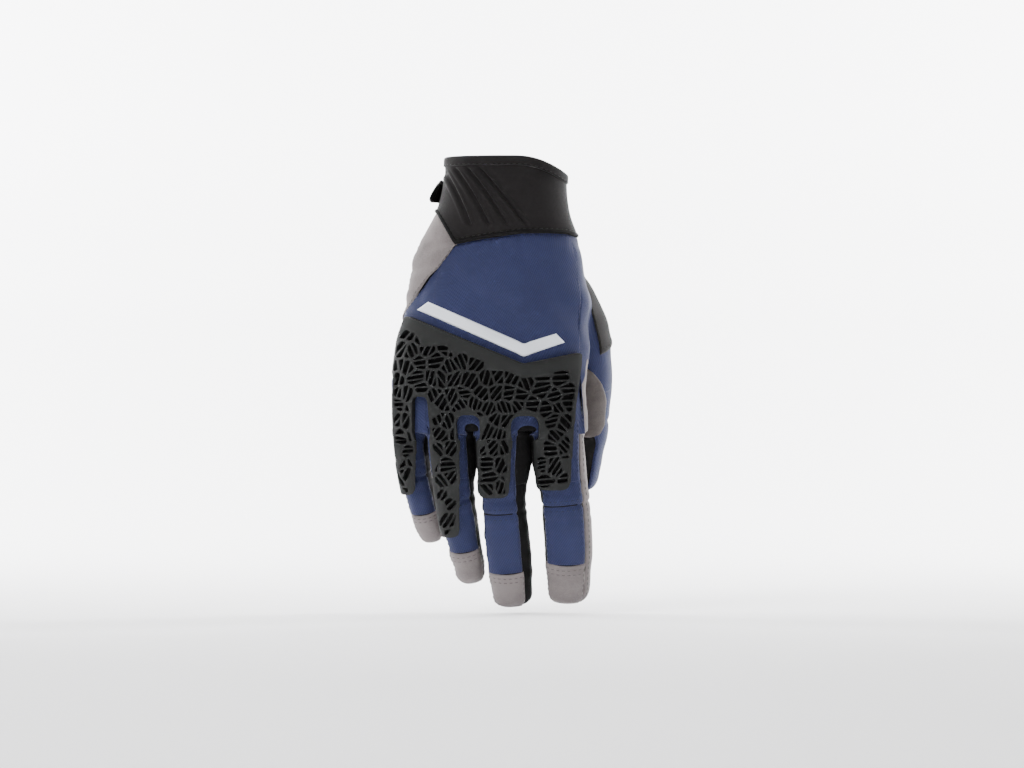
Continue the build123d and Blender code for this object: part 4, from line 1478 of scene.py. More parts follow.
class Cuff(Builder):
    """The neoprene cuff, its binding and piping, and the strap that closes it."""

    def __init__(self, form: HandForm, sizes: CuffSizes = CuffSizes()) -> None:
        """Builds the cuff and its closure."""
        super().__init__(form)
        self.sizes = sizes
        self._band()
        self._hem()
        self._piping()
        self._closure()
        self._pull_tab()

    def _top(self, t: float) -> float:
        """Height of the cuff's top edge, which dips towards the thumb."""
        sizes = self.sizes
        x = self.form.on_palm(t, -2.0).x
        return -sizes.dip * min(1.2, max(0.0, (x - sizes.dip_start) / sizes.dip_width) ** 2) - 0.3

    def _groove(self, skin: Vector) -> float:
        """Depth of the pressed ridges at a skin point on the back."""
        sizes = self.sizes
        share = (sizes.groove_top - skin.z) / (sizes.groove_top - sizes.groove_bottom)
        drop = 0.0
        for k in range(sizes.grooves):
            high, low = (start + pitch * k for start, pitch in zip(sizes.groove_start, sizes.groove_pitch))
            line = high + (low - high) * share + 0.7 * math.sin(math.pi * share)
            gap = abs(skin.x - line) * 0.8 / (sizes.groove_width / 2)
            if gap < 1:
                drop += sizes.groove_depth * (1 - gap * gap) ** 0.7
            elif gap < 2.6:
                drop -= 0.4 * math.sin((gap - 1) / 1.6 * math.pi)
        drop *= ease(share, -0.05, 0.08) * (1 - ease(share, 0.94, 1.02))
        return drop * ease(-skin.y, -4.0, 4.0)

    def _round_grid(self, top: Edge, bottom: Edge, size: Size, lift: Lift) -> np.ndarray:
        """A grid all the way round the wrist, without the column that repeats."""
        return self.palm_grid(lambda u: -180 + 360 * u, top, bottom, size, lift)[:, :-1]

    def _band(self) -> None:
        """The cuff itself."""
        sizes = self.sizes

        def lift(u: float, v: float, skin: Vector) -> float:
            """Height of the padded cloth, with its ridges and its sewn lower edge."""
            wave = ripple(skin, 18.0, 15.0, 1.0) * 0.35
            dip = self.edge_dip(u, v, 170, 42, "b", 1.2, 2.6)
            return sizes.proud + sizes.padding + wave - self._groove(skin) - dip

        grid = self._round_grid(lambda u, t: self._top(t), lambda u, t: self.settle(CUFF_SEAM, t) + 0.2,
                                (84, 301), lift)
        cuff = self.panel("cuff", grid, NEOPRENE, ("cuff",), ring=True, sheet=False)
        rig.padded(cuff, fill=1.0)
        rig.ride(cuff, "hand")
        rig.ride(Seams.sew("cuff", self.row_paths(grid, (79,), 0), NEOPRENE), "hand")

    def _hem(self) -> None:
        """The binding folded over the top edge."""
        sizes = self.sizes

        def top(u: float, t: float) -> float:
            """The binding's fold."""
            return self._top(t) + 0.3

        def lift(u: float, v: float, skin: Vector) -> float:
            """Height of the rolled binding."""
            roll = 1.0 * math.sqrt(max(0.0, 1 - (2 * v - 1) ** 4))
            return sizes.proud + 0.2 + roll + ripple(skin, 9.0, 60.0, 4.0) * 0.15

        grid = self._round_grid(top, lambda u, t: top(u, t) - sizes.hem, (14, 241), lift)
        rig.ride(self.panel("cuff_hem", grid, BINDING, ("cuff_hem",), ring=True, sheet=False), "hand")
        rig.ride(Seams.sew("hem", self.row_paths(grid, (11,), 0), BINDING), "hand")

    def _piping(self) -> None:
        """The bead in the seam under the cuff, on the back."""
        sizes = self.sizes
        points = []
        for i in range(sizes.piping_points):
            t = -sizes.piping_turn + 2 * sizes.piping_turn * i / (sizes.piping_points - 1)
            z = self.settle(CUFF_SEAM, t) - 0.2
            _, way, _ = self.form.palm.ray(t, z)
            points.append(self.form.on_palm(t, z + 0.8) + way * 0.9)
        bead = rope("cuff_piping", points, sizes.piping_radius)
        CORE.finish.dress(bead)
        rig.slot(bead, CORE.slot)
        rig.ride(bead, "hand")

    def _ply(self, ply: Ply) -> tuple[Piece, np.ndarray]:
        """One layer of the closure, with its grid."""
        (first, last), (top, bottom) = ply.turns, ply.heights

        def lift(u: float, v: float, skin: Vector) -> float:
            """Height of the layer, with its sewn edges."""
            return ply.proud - self.edge_dip(u, v, 60, 22, "lrtb", 0.5, 1.2)

        grid = self.palm_grid(lambda u: first + (last - first) * u, lambda u, t: top, lambda u, t: bottom,
                              (24, 70), lift)
        return self.panel(ply.name, grid, ply.cloth, (ply.name,), sheet=False), grid

    def _closure(self) -> None:
        """Strap with its hook and loop pads, round the palm side of the wrist."""
        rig.ride(self._ply(LOOP_PAD)[0], "hand")
        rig.ride(self._ply(HOOK_PAD)[0], "wrist_tab")
        strap, grid = self._ply(STRAP)
        paths = self.row_paths(grid, (2, 21), 2) + self.column_paths(grid, (2, 9), 2)
        for piece in (strap, Seams.sew("strap", paths, BINDING)):
            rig.blend(piece, "hand", "wrist_tab", *self.sizes.strap_root)

    def _pull_tab(self) -> None:
        """The moulded tab at the strap's free end."""
        sizes = self.sizes
        (first, last), (top, bottom) = sizes.tab_turns, sizes.tab_heights

        def taper(u: float) -> float:
            """How far the tab's edges draw in towards its end."""
            return sizes.tab_taper * ease(u, 0.7, 1.0) ** 2

        def lift(u: float, v: float, skin: Vector) -> float:
            """Height of the tab, with its curl and its cross ribs."""
            curl = 4.0 * ease(u, 0.4, 1.0) * (0.1 + 0.9 * math.sin(min(1.0, v * 1.15) * math.pi / 2))
            ridge = 0.25 if int(u * 18) % 2 and 0.3 < u < 0.9 and 0.12 < v < 0.88 else 0.0
            dip = self.edge_dip(u, v, 16, 12, "rtb", 0.4, 1.0)
            return STRAP.proud - 1.2 * ease(u, 0.2, 0.6) + curl + ridge - dip

        grid = self.palm_grid(lambda u: first + (last - first) * u, lambda u, t: top - taper(u),
                              lambda u, t: bottom + taper(u), (30, 54), lift)
        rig.ride(self.panel("pull_tab", grid, TAB, ("pull_tab",), sheet=False), "wrist_tab")


def rope(name: str, points: Sequence[Vector], radius: float, around: int = 10) -> Piece:
    """A closed round cord along points.

    Args:
        name: The piece's name.
        points: The centre line, in millimetres.
        radius: The cord's radius.
        around: Sides of the cord.

    Returns:
        The piece, with rounded-off ends.
    """
    rings: list[list[Vector]] = []
    last = len(points) - 1
    hint = Vector((0, -1, 0))
    for i, point in enumerate(points):
        along = (points[min(last, i + 1)] - points[max(0, i - 1)]).normalized()
        side = along.cross(hint)
        side = side.normalized() if side.length > 1e-6 else along.orthogonal().normalized()
        hint = side.cross(along).normalized()
        size = radius * (0.35 if i in (0, last) else 1.0)
        rings.append([point + (side * math.cos(turn) + hint * math.sin(turn)) * size
                      for turn in full_turn(around)])
    verts: list[Vector] = []
    faces: list[Face] = []
    loft(verts, faces, rings)
    cord = Skin.smooth(name, verts, faces)
    cloth = cord.data.uv_layers.new(name="cloth")
    for loop in cord.data.loops:
        cloth.data[loop.index].uv = (loop.vertex_index % around * 0.5, loop.vertex_index // around * 0.8)
    return cord


class DigitBuilder(Builder):
    """What the fingers and the thumb share: a tube with two joints, built in two halves."""

    zone = 11.0  # half the length over which a joint bends
    core_drop = 0.75  # how far the tube lies below the skin
    overlap = 0.5  # how far the halves of a strip run past the middle
    core_overlap = 0.6
    core_end = 1.8  # how far the tube stops short of the digit's end
    tip_crowd = 1.4

    def __init__(self, form: HandForm, digit: Digit) -> None:
        """Finds the digit's tube and the place where its halves meet."""
        super().__init__(form)
        self.digit = digit
        self.tube = form.tubes[digit.name]
        self.middle = (self.tube.hinges[0] + self.tube.hinges[1]) / 2

    def hold(self, piece: Piece, lower: bool) -> None:
        """Ties a piece to the digit's first joint, or to its second if it is of the lower half."""
        name = self.digit.name
        joint = self.tube.hinges[1 if lower else 0]
        bodies = (name, f"{name}_tip") if lower else ("hand", name)
        start, end = (tuple(self.tube.frame(joint + step)[0] * MM) for step in (-self.zone, self.zone))
        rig.blend(piece, *bodies, start, end)

    def core_half(self, lower: bool, start: float, pitch: float, lift: Lift, nodes: Sequence[str]) -> None:
        """One half of the black stretch tube; the lower one is shut at its far end.

        Args:
            lower: Which half.
            start: Distance down the bone where the upper half starts.
            pitch: Distance between rows.
            lift: Height above the skin.
            nodes: The nodes of the model that it replaces.
        """
        where = "lower" if lower else "upper"
        first, last = self.core_run(lower, start)
        rows = max(24, int((last - first) / pitch))
        grid = self.digit_grid(self.tube, (first, last), lambda s: (-180.0, 180.0), (rows, 84), lift, True)
        if lower:
            grid = self.shut(grid)
        self.hold(self.panel(f"{self.digit.name}_{where}_tube", grid, CORE, nodes, ring=True), lower)

    def core_run(self, lower: bool, start: float) -> Point:
        """Where a half of the stretch tube starts and ends, down the bone."""
        if lower:
            return self.middle - self.core_overlap, self.tube.length - self.core_end
        return start, self.middle + self.core_overlap


@dataclass(frozen=True)
class FingerSizes:
    """Sizes that all finger panels share, in millimetres."""

    tip_proud: float = 0.35
    crease: float = 0.9
    fold: float = 0.35
    back_pitch: float = 0.62
    palm_pitch: float = 0.6
    core_pitch: float = 0.9
    least_rows: int = 26
    flex_gap: int = 4
    # flex_radius is the radius of the black cord of painted shade in the joint's groove.
    flex_radius: float = 0.34


class Finger(DigitBuilder):
    """One finger: black stretch tube, blue back, suede palm side and tip patch, in two halves."""

    def __init__(self, form: HandForm, digit: Digit, sizes: FingerSizes = FingerSizes()) -> None:
        """Builds the finger's pieces and ties them to its joints."""
        super().__init__(form, digit)
        self.sizes = sizes
        self.start = self.tube.at_height(digit.strip_top)
        self.flex = self.tube.hinges[1]
        self.tip_start = self.tube.length - digit.tip_patch
        name = digit.name
        self._core(False, (f"{name}_sides", f"{name}_fold"))
        self._core(True, (f"{name}_lower_sides",))
        for lower in (False, True):
            self._back(lower)
            self._palm(lower)
        self._tip()

    def _crease(self, s: float, angle: float) -> float:
        """Depth of the creases at the joint and the flex seam."""
        gap, fold = s - self.flex, self.sizes.fold
        drop = self.sizes.crease * math.exp(-(gap / 1.1) ** 2)
        bend = fold * math.exp(-((gap + 6.5) / 1.6) ** 2) + fold * math.exp(-((gap - 7.0) / 1.8) ** 2)
        return drop + bend * (0.6 + 0.4 * math.cos(math.radians(angle)))

    def _fullness(self, z: float, angle: float) -> float:
        """How far the loose stretch side stands out between neighbouring fingers."""
        drop = self.digit.full_from - z
        swell = ease(drop, 13.0, 20.0) * (1 - ease(drop, 28.0, 52.0))
        side = math.sin(math.radians(angle))
        left, right = self.digit.fullness
        return swell * side ** 6 * (right if side > 0 else left)

    def _core(self, lower: bool, nodes: Sequence[str]) -> None:
        """One half of the stretch tube that shows between the panels."""
        first, last = self.core_run(lower, self.start)

        def lift(u: float, v: float, skin: Vector) -> float:
            """Gathers at the sides, and the creases at the joint."""
            s = first + (last - first) * v
            angle = -180 + 360 * u
            under = 0.12 if lower and v < 0.02 else 0.0
            gather = ripple(skin, 5.0, 8.0, 21.0 + self.digit.turn) * 0.35
            loose = self._fullness(skin.z, angle) + gather * abs(math.sin(math.radians(angle)))
            return loose - self.core_drop - self._crease(s, angle) * 0.7 - under

        self.core_half(lower, self.start, self.sizes.core_pitch, lift, nodes)

    def _back_angles(self, s: float) -> Point:
        """First and last angle of the blue back strip, which spreads at the finger's root."""
        (left, right), (more_left, more_right) = self.digit.seams, self.digit.root_spread
        open_up = 1 - ease(s, self.start, self.start + 28.0)
        return left + more_left * open_up, right + more_right * open_up

    def _palm_angles(self, s: float) -> Point:
        """First and last angle of the suede strip, which meets the blue on the index finger."""
        wrap = self.digit.palm_seam
        if self.digit is not INDEX:
            return wrap, 360.0 - wrap
        return self.digit.seams[1] + 1.0 + 9.0 * (1 - ease(s, self.start, self.start + 34.0)), 360.0 - wrap

    def _strip_lift(self, run: Point, angles: Callable[[float], Point], lower: bool) -> Lift:
        """How high a strip lies: soft folds, creases at the joint and sewn edges."""
        first, last = run

        def lift(u: float, v: float, skin: Vector) -> float:
            """Height at the shares across and down."""
            s = first + (last - first) * v
            start, end = angles(s)
            full = self._fullness(skin.z, start + (end - start) * u)
            soft = ripple(skin, 9.0, 18.0, self.digit.turn * 3 + 1) * 0.32
            under = 0.1 if lower and v < 0.02 else 0.0
            rise = 0.2 + full + soft * ease(self.tube.length - s, 0.0, 6.0) - self._crease(s, 0.0) - under
            return rise - self.edge_dip(u, v, 20, last - first, "lr", 0.75, 1.7)

        return lift

    def _back(self, lower: bool) -> None:
        """One half of the blue back strip, with its stitches, and at the joint a black cord of painted shade along the
        groove.
        """
        name, sizes = self.digit.name, self.sizes
        first = self.middle - self.overlap if lower else self.start
        last = self.tip_start + 1.2 if lower else self.middle + self.overlap
        rows = max(sizes.least_rows, int((last - first) / sizes.back_pitch))
        where, node = ("lower", f"{name}_lower_back") if lower else ("upper", f"{name}_back")
        grid = self.digit_grid(self.tube, (first, last), self._back_angles, (rows, 46),
                               self._strip_lift((first, last), self._back_angles, lower))
        self.hold(self.panel(f"{name}_{where}_back", grid, STRETCH, (node,)), lower)
        paths = self.column_paths(grid, (3, 42), 2)
        flex_row = int((self.flex - first) / (last - first) * (rows - 1))
        if lower:
            beside = (flex_row - sizes.flex_gap, flex_row + sizes.flex_gap)
            paths += self.row_paths(grid, [row for row in beside if 2 < row < rows - 2], 3)
        self.hold(Seams.sew(f"{name}_{where}_back", paths, STRETCH), lower)
        # On the index and middle fingers, a black cord laid in the crease at the joint is painted shade for the
        # groove.
        if lower and self.digit in (INDEX, MIDDLE):
            normal = Skin.normals(grid)
            points = [Vector(grid[flex_row, c] + normal[flex_row, c] * 0.02) for c in range(2, 40)]
            bite = rope(f"{name}_flex_groove", points, sizes.flex_radius)
            CORE.finish.dress(bite)
            self.hold(bite, lower)

    def _palm(self, lower: bool) -> None:
        """One half of the suede strip, with its stitches; the lower one runs round the fingertip."""
        name, sizes = self.digit.name, self.sizes
        first = self.middle - self.overlap if lower else self.start
        last = self.tube.length if lower else self.middle + self.overlap
        rows = max(sizes.least_rows, int((last - first) / (sizes.palm_pitch if lower else sizes.back_pitch)))
        where, node = ("lower", f"{name}_lower_palm") if lower else ("upper", f"{name}_palm")
        grid = self.digit_grid(self.tube, (first, last), self._palm_angles, (rows, 52),
                               self._strip_lift((first, last), self._palm_angles, lower),
                               crowd=self.tip_crowd if lower else 1.0)
        self.hold(self.panel(f"{name}_{where}_palm", grid, SUEDE, (node,)), lower)
        self.hold(Seams.sew(f"{name}_{where}_palm", self.column_paths(grid, (3, 48), 2), SUEDE), lower)

    def _tip(self) -> None:
        """The suede fingertip, squared off, with its curved upper seam."""
        name = self.digit.name
        first, last = self.tip_start, self.tube.length
        rows, columns = 60, 70
        left, right = self.digit.seams
        grid = np.zeros((rows, columns, 3))
        for r in range(rows):
            v = r / (rows - 1)
            for c in range(columns):
                u = c / (columns - 1)
                angle = left - 3 + (right - left + 5) * u
                arc = 1.8 * math.cos(math.radians(angle))
                s = min(first + arc * (1 - v) + (last - first) * (1 - (1 - v) ** 1.25), last)
                _, way, _ = self.tube.ray(s, angle)
                skin = self.form.on_digit(self.tube, s, angle)
                coarse = ripple(skin, 7.0, 25.0, 4.0 + self.digit.turn) * 0.3
                lump = coarse + ripple(skin, 3.4, -20.0, 9.0) * 0.14
                dip = self.edge_dip(u, v, 20, last - first, "lrt", 0.7, 1.6)
                grid[r, c] = skin + way * ((self.sizes.tip_proud + lump) * (1 - v ** 8) - dip)
        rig.ride(self.panel(f"{name}_tip_patch", grid, TIP_SUEDE, (f"{name}_tip_patch",)), f"{name}_tip")
        paths = self.row_paths(grid, (5, 10), 3) + self.column_paths(grid, (3, columns - 4), 4)
        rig.ride(Seams.sew(f"{name}_tip", paths, TIP_SUEDE), f"{name}_tip")


@dataclass(frozen=True)
class ThumbSizes:
    """Sizes of the thumb's panels, in millimetres and degrees."""

    core_start: float = 34.0
    face_start: float = 19.0
    grip_top: float = -64.0
    grip_bottom: float = -98.0
    grip_left: tuple[tuple[float, ...], ...] = ((64, 70, 77, 85, 97), (14, -2, -18, -31, -40))
    grip_right: float = 46.0
    grip_clear: Point = (1.5, 1.1)
    grip_passes: int = 6
    oval_top: float = -101.4
    oval_bottom: float = -139.5
    oval_left: tuple[tuple[float, ...], ...] = ((0, 0.15, 0.9, 1), (-92, -124, -124, -90))
    oval_right: tuple[tuple[float, ...], ...] = ((0, 0.12, 0.3, 0.55, 0.85, 0.96, 1),
                                                 (-84, -60, -36, -17, -16, -30, -60))


class Thumb(DigitBuilder):
    """The thumb, in three lengths: its root on the hand, its shaft and its tip."""

    def __init__(self, form: HandForm, hand: Hand, sizes: ThumbSizes = ThumbSizes()) -> None:
        """Builds the thumb's pieces on the hand and ties them to its joints."""
        super().__init__(form, THUMB)
        self.hand, self.sizes = hand, sizes
        for lower, nodes in ((False, ("thumb_fold",)), (True, ())):
            self.core_half(lower, sizes.core_start, 1.0, lambda u, v, skin: -self.core_drop, nodes)
        self._faces(False, (sizes.face_start, self.middle + self.overlap), "thumb")
        self._faces(True, (self.middle - self.overlap, self.tube.length), "thumb_tip")
        self._grip()
        self._oval()

    def _blue_edge(self, s: float) -> float:
        """Angle where the blue back of the thumb starts, seen from the back of the hand."""
        height = float(self.tube.frame(s)[0].z)
        return -104.0 + 40.0 * ease(-height, 98.0, 108.0) + 24.0 * ease(-height, 132.0, 144.0)

    def _faces(self, lower: bool, run: Point, node: str) -> None:
        """One half of the thumb's blue back and suede front, with their stitches."""
        first, last = run
        joint = self.tube.hinges[1]

        def lift(u: float, v: float, skin: Vector) -> float:
            """Soft folds, a crease at the joint and sewn edges."""
            s = first + (last - first) * v
            soft = ripple(skin, 10.0, 30.0, 14.0) * 0.35
            crease = 0.7 * math.exp(-((s - joint) / 1.6) ** 2)
            end = ease(self.tube.length - s, 0.0, 6.0)
            return 0.35 + soft * end - crease - self.edge_dip(u, v, 30, last - first, "lr", 0.75, 1.8)

        where, crowd = ("lower", self.tip_crowd) if lower else ("upper", 1.0)
        rows = int((last - first) / 0.8)
        sides = (("back", lambda s: (self._blue_edge(s), 112.0), 76, STRETCH),
                 ("palm", lambda s: (128.0, 282.0), 70, SUEDE))
        for side, angles, columns, cloth in sides:
            grid = self.digit_grid(self.tube, run, angles, (rows, columns), lift, crowd=crowd)
            self.hold(self.panel(f"thumb_{where}_{side}", grid, cloth, (f"{node}_{side}",)), lower)
            paths = self.column_paths(grid, (3, columns - 4), 2)
            self.hold(Seams.sew(f"thumb_{where}_{side}", paths, cloth), lower)

    def _grip_grid(self) -> np.ndarray:
        """Outer face of the grip patch: laid over the thumb and the back panel, smoothed, then folded."""
        sizes, rows, columns = self.sizes, 54, 64
        first, last = self.tube.at_height(sizes.grip_top), self.tube.at_height(sizes.grip_bottom)
        over_skin, over_back = sizes.grip_clear
        grid = np.zeros((rows, columns, 3))
        for r in range(rows):
            s = first + (last - first) * r / (rows - 1)
            left = float(np.interp(-float(self.tube.frame(s)[0].z), *sizes.grip_left))
            for c in range(columns):
                angle = left + (sizes.grip_right - left) * c / (columns - 1)
                origin, way, own = self.tube.ray(s, angle)
                out = (self.form.on_digit(self.tube, s, angle) - origin).length
                hit, _, _, far = self.hand.back_tree.ray_cast(origin, way, own * 1.7)
                grid[r, c] = origin + way * max(out + over_skin, far + over_back if hit is not None else 0.0)
        for _ in range(sizes.grip_passes):
            grid[1:-1, 1:-1] = (grid[:-2, 1:-1] + grid[2:, 1:-1] + grid[1:-1, :-2] + grid[1:-1, 2:]) / 4
        for r in range(rows):
            centre = self.tube.frame(first + (last - first) * r / (rows - 1))[0]
            for c in range(columns):
                way = Vector(grid[r, c]) - centre
                fold = ripple(Vector(grid[r, c]), 9.0, 30.0, 14.0) * 0.35
                dip = self.edge_dip(c / (columns - 1), r / (rows - 1), 30, last - first, "lrtb", 0.7, 1.8)
                grid[r, c] += way.normalized() * (fold - dip)
        return grid

    def _grip(self) -> None:
        """The grip patch over the thumb's root, in grey suede whose very dark colour is painted shade."""
        grid = self._grip_grid()
        self.hold(self.panel("thumb_patch", grid, DARK_SUEDE, ("thumb_patch",)), False)
        paths = self.row_paths(grid, (3, 50), 3) + self.column_paths(grid, (3, 60), 3)
        self.hold(Seams.sew("thumb_patch", paths, DARK_SUEDE), False)

    def _oval(self) -> None:
        """The suede oval below the grip patch."""
        sizes = self.sizes
        top, bottom = self.tube.at_height(sizes.oval_top), self.tube.at_height(sizes.oval_bottom)

        def angles(s: float) -> Point:
            """First and last angle of the oval."""
            share = (s - top) / (bottom - top)
            return float(np.interp(share, *sizes.oval_left)), float(np.interp(share, *sizes.oval_right))

        def lift(u: float, v: float, skin: Vector) -> float:
            """Height of the oval, with its sewn edges."""
            return 0.95 + ripple(skin, 8.0, 40.0, 4.0) * 0.35 - self.edge_dip(u, v, 20, 38, "lrtb", 0.6, 1.5)

        grid = self.digit_grid(self.tube, (top, bottom), angles, (60, 40), lift)
        self.hold(self.panel("thumb_oval", grid, OVAL_SUEDE), False)


@dataclass(frozen=True)
class GuardSizes:
    """Sizes of the moulded knuckle guard, in millimetres."""

    seat: float = 0.45
    rise: float = 2.9
    backing_seat: float = 0.42
    backing_rise: float = 0.45
    rim: float = 1.25
    band: float = 7.2
    cell: float = 7.1
    jitter: float = 0.34
    rib: float = 1.05
    fine_rib: float = 0.72
    slit: float = 2.85
    field: Point = (-60.0, -84.0)
    field_cells: Size = (18, 14)
    rubber_fill: Triple = (1.9, 0.013, 0.9)
    backing_fill: Triple = (1.7, 0.011, 0.0)
    cut_step: float = 1.3
    wrap: float = 3.0
    corner_share: float = 0.46
    narrow_from: float = -137.0
    narrow_share: float = 0.86
    least_gap: float = 0.28
    least_room: float = 0.35
    least_area: float = 1.3
    seed: int = 4
    step: float = 1.1
    edge_round: float = 0.32
    smooth_angle: float = 42.0
    web_line: float = -139.0
    outline: tuple[Triple, ...] = (
        (-49.4, -80.8, 2.0), (8.3, -105.1, 5.0), (36.2, -99.4, 1.5), (36.0, -106.0, 6.0),
        (33.4, -128.0, 20.0), (32.2, -150.0, 20.0), (31.6, -168.8, 4.6), (16.6, -168.8, 4.6),
        (15.8, -131.3, 5.6), (2.2, -131.3, 5.6), (0.6, -172.9, 4.4), (-12.4, -172.9, 4.4),
        (-13.6, -130.9, 4.6), (-25.2, -130.9, 4.6), (-24.2, -192.8, 3.6), (-33.2, -192.8, 3.6),
        (-39.6, -121.6, 3.0), (-46.6, -121.6, 3.0), (-47.0, -171.2, 3.0), (-55.4, -171.2, 3.0),
        (-57.2, -112.0, 12.0), (-54.4, -94.0, 12.0))


class Guard:
    """The moulded rubber guard: a smooth bar, a lattice of slit cells and four prongs."""

    # Left and right x of the line that parts each prong.
    spans = {"index": (10.0, 45.0), "middle": (-18.0, 8.0), "ring": (-42.5, -20.0), "little": (-66.0, -44.0)}
    # Depths over which the palm's left and right sides give way to the finger's.
    joins = {"little": ((108.0, 136.0), (133.0, 143.0)), "other": ((138.5, 143.0), (138.5, 143.0))}
    # The x to the right of which a place belongs to a finger.
    starts = (("index", 9), ("middle", -19), ("ring", -43))
    # Regions that only the looks part.
    without_node = ("index_lower", "middle_lower")
    # Angles that the fine ribs may run at, on the thumb side and elsewhere.
    thumb_side_slants = (2, 8, 14, 60, -50)
    slants = (-68, -55, 52, 60, 66, 74, 10, 4)

    def __init__(self, form: HandForm, fingers: dict[str, Finger], sizes: GuardSizes = GuardSizes()) -> None:
        """Lays the guard's flat pattern on the hand and cuts it at the joints."""
        self.form, self.fingers, self.sizes = form, fingers, sizes
        self.outline = self._rounded(sizes.outline)
        self.slits = self._slits()
        log.info("guard: %d slits", len(self.slits))
        self.cuts = [((-70.0, sizes.web_line), (45.0, sizes.web_line))]
        for name, (left, right) in self.spans.items():
            height = self._cut_height(name)
            self.cuts.append(((left, height), (right, height)))
        self._backing()
        self._rubber()

    def _rounded(self, corners: Sequence[Triple]) -> np.ndarray:
        """A closed line with its corners rounded, in steps of about one millimetre."""
        points: list[np.ndarray] = []
        count = len(corners)
        for i in range(count):
            here = np.array(corners[i][:2])
            before = np.array(corners[i - 1][:2]) - here
            after = np.array(corners[(i + 1) % count][:2]) - here
            a, b = before / np.linalg.norm(before), after / np.linalg.norm(after)
            half = math.acos(max(-1.0, min(1.0, float(a @ b)))) / 2
            room = [self.sizes.corner_share * np.linalg.norm(side) for side in (before, after)]
            reach = min(corners[i][2] / math.tan(half), *room)
            start, end = here + a * reach, here + b * reach
            steps = max(2, int(reach * 2.4 / self.sizes.step))
            for k in range(steps + 1):
                t = k / steps
                points.append(start * (1 - t) ** 2 + here * 2 * t * (1 - t) + end * t ** 2)
        line = [points[0]]
        for point in [*points[1:], points[0]]:
            gap = np.linalg.norm(point - line[-1])
            pieces = max(1, int(round(gap / self.sizes.step)))
            base = line[-1]
            line.extend(base + (point - base) * k / pieces for k in range(1, pieces + 1))
        return np.array(line[:-1])

    @staticmethod
    def _cut(cell: list[np.ndarray], normal: np.ndarray, limit: float) -> list[np.ndarray]:
        """The part of a convex cell whose reach along normal is at most limit."""
        kept = []
        for here, after in zip(cell, [*cell[1:], cell[0]]):
            a, b = float(here @ normal) - limit, float(after @ normal) - limit
            if a <= 0:
                kept.append(here)
            if a * b < 0:
                kept.append(here + (after - here) * (a / (a - b)))
        return kept

    @staticmethod
    def _inside(points: np.ndarray, loops: Sequence[np.ndarray]) -> np.ndarray:
        """Whether points lie in an odd number of the loops."""
        odd = np.zeros(len(points), dtype=bool)
        for loop in loops:
            low, high = loop.min(axis=0), loop.max(axis=0)
            near = np.where(((points >= low) & (points <= high)).all(axis=1))[0]
            if not len(near):
                continue
            x, z = points[near, 0:1], points[near, 1:2]
            ax, az = loop[:, 0], loop[:, 1]
            bx, bz = np.roll(ax, -1), np.roll(az, -1)
            spans = (az > z) != (bz > z)
            rise = np.where(bz == az, 1e-9, bz - az)
            crossing = spans & (x < (bx - ax) * (z - az) / rise + ax)
            odd[near] ^= crossing.sum(axis=1) % 2 == 1
        return odd

    def _room(self, point: np.ndarray) -> float:
        """How far a point lies inside the lattice, where slits may be, in millimetres."""
        a, b = self.outline, np.roll(self.outline, -1, axis=0)
        way = b - a
        share = np.clip(((point - a) * way).sum(axis=1) / (way * way).sum(axis=1), 0, 1)
        gap = float(np.linalg.norm(point - (a + way * share[:, None]), axis=1).min())
        if not self._inside(point[None, :], [self.outline])[0]:
            return -gap
        top = [(corner[0], corner[1]) for corner in self.sizes.outline[:3]]
        under = on_line(top, float(point[0])) - self.sizes.band - float(point[1])
        return min(gap - self.sizes.rim, under)

    def _seeds(self, chance: random.Random) -> list[np.ndarray]:
        """Centres of the lattice's cells: staggered rows, each centre a little astray."""
        sizes = self.sizes
        (left, top), (rows, columns) = sizes.field, sizes.field_cells
        seeds = []
        for row in range(rows):
            for column in range(columns):
                aside = chance.uniform(-sizes.jitter, sizes.jitter)
                x = left + (column + 0.5 * (row % 2) + aside) * sizes.cell
                z = top - (row + chance.uniform(-sizes.jitter, sizes.jitter)) * sizes.cell
                seeds.append(np.array((x, z)))
        return seeds

    def _slits(self) -> list[np.ndarray]:
        """The slits: irregular cells, each split by thin parallel ribs that run its own way."""
        sizes, chance = self.sizes, random.Random(self.sizes.seed)
        seeds = self._seeds(chance)
        made = []
        for seed in seeds:
            cell = [seed + np.array(way) * sizes.cell for way in ((-1, -1), (1, -1), (1, 1), (-1, 1))]
            for other in seeds:
                gap = float(np.linalg.norm(other - seed))
                if 0 < gap < 3 * sizes.cell:
                    normal = (other - seed) / gap
                    cell = self._cut(cell, normal, float(seed @ normal) + (gap - sizes.rib) / 2)
            if len(cell) < 3:
                continue
            turn = math.radians(chance.choice(self.slants if seed[0] < 12 else self.thumb_side_slants))
            across = np.array((-math.sin(turn), math.cos(turn)))
            reach = [float(p @ across) for p in cell]
            low, high = min(reach), max(reach)
            pitch = sizes.slit * (sizes.narrow_share if seed[1] < sizes.narrow_from else 1.0)
            count = max(1, round((high - low + sizes.fine_rib) / pitch))
            width = (high - low + sizes.fine_rib) / count
            for k in range(count):
                start = low + k * width
                piece = self._cut(self._cut(cell, across, start + width - sizes.fine_rib), -across, -start)
                fitted = self._fitted(piece) if len(piece) > 2 else None
                if fitted is not None:
                    made.append(fitted)
        return made

